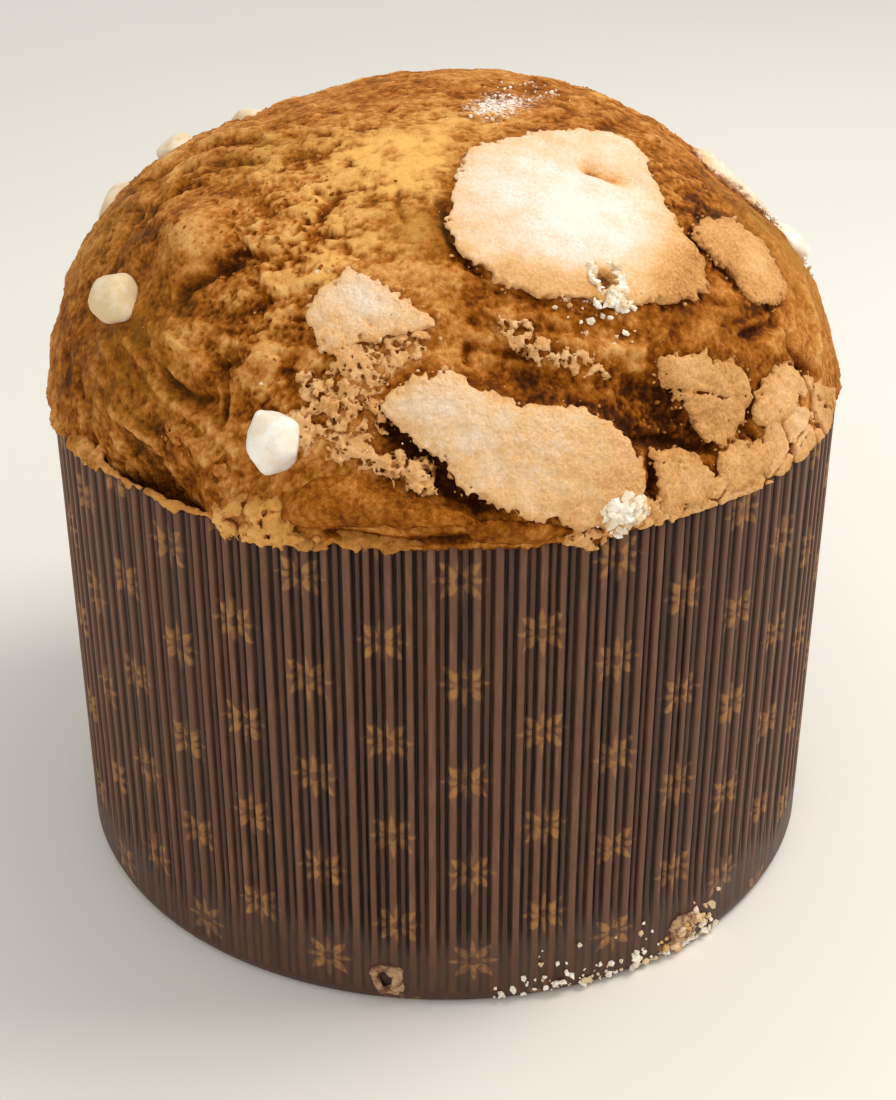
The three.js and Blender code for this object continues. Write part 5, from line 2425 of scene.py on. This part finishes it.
def grains_at(places: Array, sizes: Array, draw: np.random.Generator) -> tuple[Array, Array]:
    """Make an uneven grain at every place.

    Args:
        places: The places in millimetres.
        sizes: The grains' widths.
        draw: Source of random numbers.

    Returns:
        The points, twelve a grain, and the triangles.
    """
    points = []
    for place, size in zip(places, sizes):
        turn, _ = np.linalg.qr(draw.normal(size=(3, 3)))
        turn[:, 0] *= np.sign(np.linalg.det(turn))
        jittered = 0.29 * GRAIN_CORNERS + 0.12 * draw.normal(size=(GRAIN_POINTS, 3))
        uneven = jittered * (0.65 + 0.7 * draw.random(3))
        points.append(place + size * uneven @ turn.T)
    index = np.arange(len(places))[:, None, None] * GRAIN_POINTS
    return np.concatenate(points), (GRAIN_FACES[None] + index).reshape(-1, 3)


def a_grain(draw: np.random.Generator, count: int) -> Array:
    """Draw a value from 0 to 1 for each grain and give it to all of the grain's points."""
    return np.repeat(draw.random(count), GRAIN_POINTS)


def foot_places(turn: Array, height: Array, stand: Array) -> Array:
    """Give places on the mould's rounded foot.

    Args:
        turn: Bearings in degrees.
        height: Heights over the floor in millimetres.
        stand: How far each stands out of the paper in millimetres.

    Returns:
        The places, one a row.
    """
    inset = np.where(height < FOOT_ROUNDING, (FOOT_ROUNDING - height) * 0.5, 0)
    return directions(turn, 0.0) * (MOULD_RADIUS + stand - inset)[:, None] + height[:, None] * UP


@dataclass
class LooseCrumbs:
    """Builds the crumbs that broke off: round the plates, where the crust tore and at the mould's foot."""

    finishes: Finishes
    glaze_spacing: float = 3.0
    dough_count: int = 420
    least_tear: float = 0.2
    lowest_lift: float = 12.0
    base_count: int = 70
    base_turn: float = 37.5
    base_spread: float = 2.2
    base_height: float = 5.6
    base_climb: float = 0.55
    base_rise: float = 1.3

    def glaze(self) -> Piece:
        """Build the crumbs round the plates.

        Returns:
            The piece.
        """
        draw = np.random.default_rng(31)
        places = []
        sizes = []
        for form in PLATES:
            loop = smooth_loop(form.corners, 12)
            run = np.linalg.norm(np.roll(loop, -1, axis=0) - loop, axis=1)
            count = int(run.sum() / self.glaze_spacing)
            picks = loop[draw.integers(0, len(loop), count)]
            away = np.abs(draw.normal(size=count)) * 1.0 - 0.4
            outward = picks / np.linalg.norm(picks, axis=1, keepdims=True)
            size = 0.3 + 0.8 * draw.random(count) ** 2.5
            flat = picks + outward * away[:, None] + 0.4 * draw.normal(size=(count, 2))
            local = np.column_stack([flat, 0.25 * size + 0.5 * (away < 0.4)])
            stand = DOME.frame(form.bearing, form.lift).place(local)
            keep = stand[:, 2] > RIM_HEIGHT + 1
            places.append(stand[keep])
            sizes.append(size[keep])
        points, faces = grains_at(np.concatenate(places), np.concatenate(sizes), draw)
        tone = 0.45 + 0.3 * a_grain(draw, len(points) // GRAIN_POINTS)
        piece = make_piece("glaze_crumbs", points, faces, glaze_masks(tone))
        hand_over(piece, self.finishes.glaze)
        return piece

    def dough(self) -> Piece:
        """Build the crumbs where the crust tore.

        Returns:
            The piece.
        """
        draw = np.random.default_rng(32)
        torn = [spot for spot in TEARS if spot.height > self.least_tear]
        share = np.array([spot.height * spot.spread**2 for spot in torn])
        picks = draw.choice(len(torn), self.dough_count, p=share / share.sum())
        bearing, lift, spread = np.array([(torn[i].bearing, torn[i].lift, torn[i].spread) for i in picks]).T
        lift = lift + 0.55 * spread * draw.normal(size=self.dough_count)
        bearing = bearing + 0.6 * spread * draw.normal(size=self.dough_count) / np.cos(np.radians(lift))
        keep = lift > self.lowest_lift
        out = directions(bearing[keep], lift[keep])
        size = 0.3 + 0.8 * draw.random(len(out)) ** 2.2
        reach = DOME.fine_reach(out)
        relief, _ = CrustRelief().measure(out, DOME.stand(out, reach))
        places = DOME.stand(out, reach + relief - 0.05 * size)
        points, faces = grains_at(places, size, draw)
        tone = 0.3 + 0.4 * a_grain(draw, len(size))
        piece = make_piece("dough_crumbs", points, faces, crust_masks(tone))
        hand_over(piece, self.finishes.crust)
        return piece

    def base(self) -> Piece:
        """Build the crumbs that stick round the right skewer hole.

        Returns:
            The piece.
        """
        draw = np.random.default_rng(33)
        count = self.base_count
        size = 0.6 + 1.6 * draw.random(count) ** 2
        turn = self.base_turn + self.base_spread * draw.normal(size=count)
        height = self.base_height + self.base_climb * (turn - self.base_turn)
        height = height + self.base_rise * draw.normal(size=count)
        height = np.maximum(height, 0.5 * size)
        points, faces = grains_at(foot_places(turn, height, 0.2 * size), size, draw)
        points[:, 2] = np.maximum(points[:, 2], OFF_FLOOR)
        tone = 0.15 + 0.35 * a_grain(draw, count)
        piece = make_piece("glaze_crumbs_base", points, faces, glaze_masks(tone))
        hand_over(piece, self.finishes.glaze)
        return piece

    def build(self) -> None:
        """Build all three kinds."""
        self.glaze()
        self.dough()
        self.base()


@dataclass
class LooseGrains:
    """Builds loose sugar grains, all of one place joined in one mesh."""

    finishes: Finishes
    first_turn: float = 6.0
    last_turn: float = 44.0
    base_count: int = 170
    base_rise: float = 5.0
    stray_rise: float = 7.0
    stray_share: float = 0.07

    def dome(self) -> Piece:
        """Build the grains on the dome.

        Returns:
            The piece.
        """
        draw = np.random.default_rng(11)
        places = []
        sizes = []
        for patch in SCATTERS:
            flat = draw.normal(size=(patch.count, 2)) * 0.6
            if patch.ring:
                flat = 0.3 * flat + flat / np.linalg.norm(flat, axis=1, keepdims=True)
            flat = flat * (patch.across, patch.along)
            size = patch.least + (patch.most - patch.least) * draw.random(patch.count) ** 2.5
            local = np.column_stack([flat, patch.stand + 0.25 * size])
            places.append(DOME.frame(patch.bearing, patch.lift).place(local))
            sizes.append(size)
        points, faces = grains_at(np.concatenate(places), np.concatenate(sizes), draw)
        return self.dress("sugar_grains_dome", points, faces)

    def base(self) -> Piece:
        """Build the grains that stick to the mould just over the floor.

        Returns:
            The piece.
        """
        draw = np.random.default_rng(12)
        share = draw.random(self.base_count) ** 0.6
        turn = self.first_turn + (self.last_turn - self.first_turn) * share
        size = 0.35 + 1.25 * draw.random(self.base_count) ** 2.0
        height = 0.5 * size + 0.6 + self.base_rise * draw.random(self.base_count) ** 1.8
        height += self.stray_rise * (draw.random(self.base_count) > 1 - self.stray_share)
        points, faces = grains_at(foot_places(turn, height, 0.3 * size), size, draw)
        points[:, 2] = np.maximum(points[:, 2], OFF_FLOOR)
        return self.dress("sugar_grains_base", points, faces)

    def dress(self, name: str, points: Array, faces: Array) -> Piece:
        """Make a mesh of grains and give it its finish."""
        picks = np.arange(len(points) // GRAIN_POINTS) % CRUMB_GRAIN.TABLE
        warmth_and_shade = np.repeat(CRUMB_GRAIN.levels[picks] ** 3, GRAIN_POINTS)
        piece = make_piece(name, points, faces, {"warmth_and_shade": warmth_and_shade})
        piece.data.shade_flat()
        hand_over(piece, self.finishes.sugar)
        return piece


# ---- The studio ----


@dataclass(frozen=True)
class Lamp:
    """A soft square lamp: its place and side in metres, its power in watts and its display colour."""

    name: str
    spot: Spot
    size: float
    power: float
    colour: Colour


LAMPS = (
    Lamp("key_lamp", (0.5, 0.1, 0.85), 0.4, 5.3, (255, 250, 242)),
    Lamp("fill_lamp", (-0.35, -0.8, 0.6), 0.6, 1.5, (255, 253, 248)),
)


@dataclass
class Studio:
    """Floor, light and camera."""

    look_at: Spot = (0.73, 0.0, 61.5)
    distance: float = 444.0
    elevation: float = 29.05
    focal_to_height: float = 1912 / 1100
    sensor: float = 36.0
    floor_half: float = 3000.0
    lamp_aim: Spot = (0, 0, 0.09)
    sky: Colour = (236, 236, 232)
    sky_strength: float = 0.79

    def floor(self) -> None:
        """Lay the floor."""
        half = self.floor_half
        corners = np.array([[-half, -half, 0], [half, -half, 0], [half, half, 0], [-half, half, 0]])
        piece = make_piece("studio_floor", corners, np.array([[0, 1, 2, 3]]))
        piece.data.materials.append(FloorFinish("studio_floor_pale").material())

    def camera(self) -> None:
        """Set up the camera."""
        data = bpy.data.cameras.new("studio_camera")
        data.sensor_fit = "VERTICAL"
        data.sensor_height = self.sensor
        data.lens = self.sensor * self.focal_to_height
        camera = bpy.data.objects.new("studio_camera", data)
        bpy.context.scene.collection.objects.link(camera)
        target = Vector(self.look_at) * MM
        rise = math.radians(self.elevation)
        camera.location = target + Vector((0, -math.cos(rise), math.sin(rise))) * self.distance * MM
        camera.rotation_euler = (target - camera.location).to_track_quat("-Z", "Y").to_euler()
        bpy.context.scene.camera = camera

    def hang(self, lamp: Lamp) -> None:
        """Hang a lamp that points at the cake.

        Args:
            lamp: The lamp.
        """
        data = bpy.data.lights.new(lamp.name, "AREA")
        data.size = lamp.size
        data.energy = lamp.power
        data.color = linear(lamp.colour)[:3]
        hung = bpy.data.objects.new(lamp.name, data)
        bpy.context.scene.collection.objects.link(hung)
        hung.location = lamp.spot
        hung.rotation_euler = (Vector(self.lamp_aim) - hung.location).to_track_quat("-Z", "Y").to_euler()

    def light(self) -> None:
        """Light the room and hang the lamps."""
        world = bpy.data.worlds.new("studio_world")
        bpy.context.scene.world = world
        world.use_nodes = True
        back = world.node_tree.nodes["Background"]
        back.inputs["Color"].default_value = linear(self.sky)
        back.inputs["Strength"].default_value = self.sky_strength
        for lamp in LAMPS:
            self.hang(lamp)
        bpy.context.scene.view_settings.view_transform = "Standard"

    def build(self) -> None:
        """Set up the whole studio."""
        self.floor()
        self.camera()
        self.light()


def main() -> None:
    """Build every sub-assembly in order."""
    logging.basicConfig(level=logging.INFO, format="%(name)s %(message)s")
    finishes = Finishes()
    PaperMould(finishes).build()
    Cake(finishes).build()
    for form in PLATES + ROLLS + LACES:
        Sheet(form, finishes).build()
    rim = RimCrust(finishes)
    for stretch in RIM_STRETCHES:
        rim.build(stretch)
    sugar = PearlSugar(finishes)
    for nugget in NUGGETS:
        sugar.build(nugget)
    LooseCrumbs(finishes).build()
    grains = LooseGrains(finishes)
    grains.dome()
    grains.base()
    Studio().build()


if __name__ == "__main__":
    main()
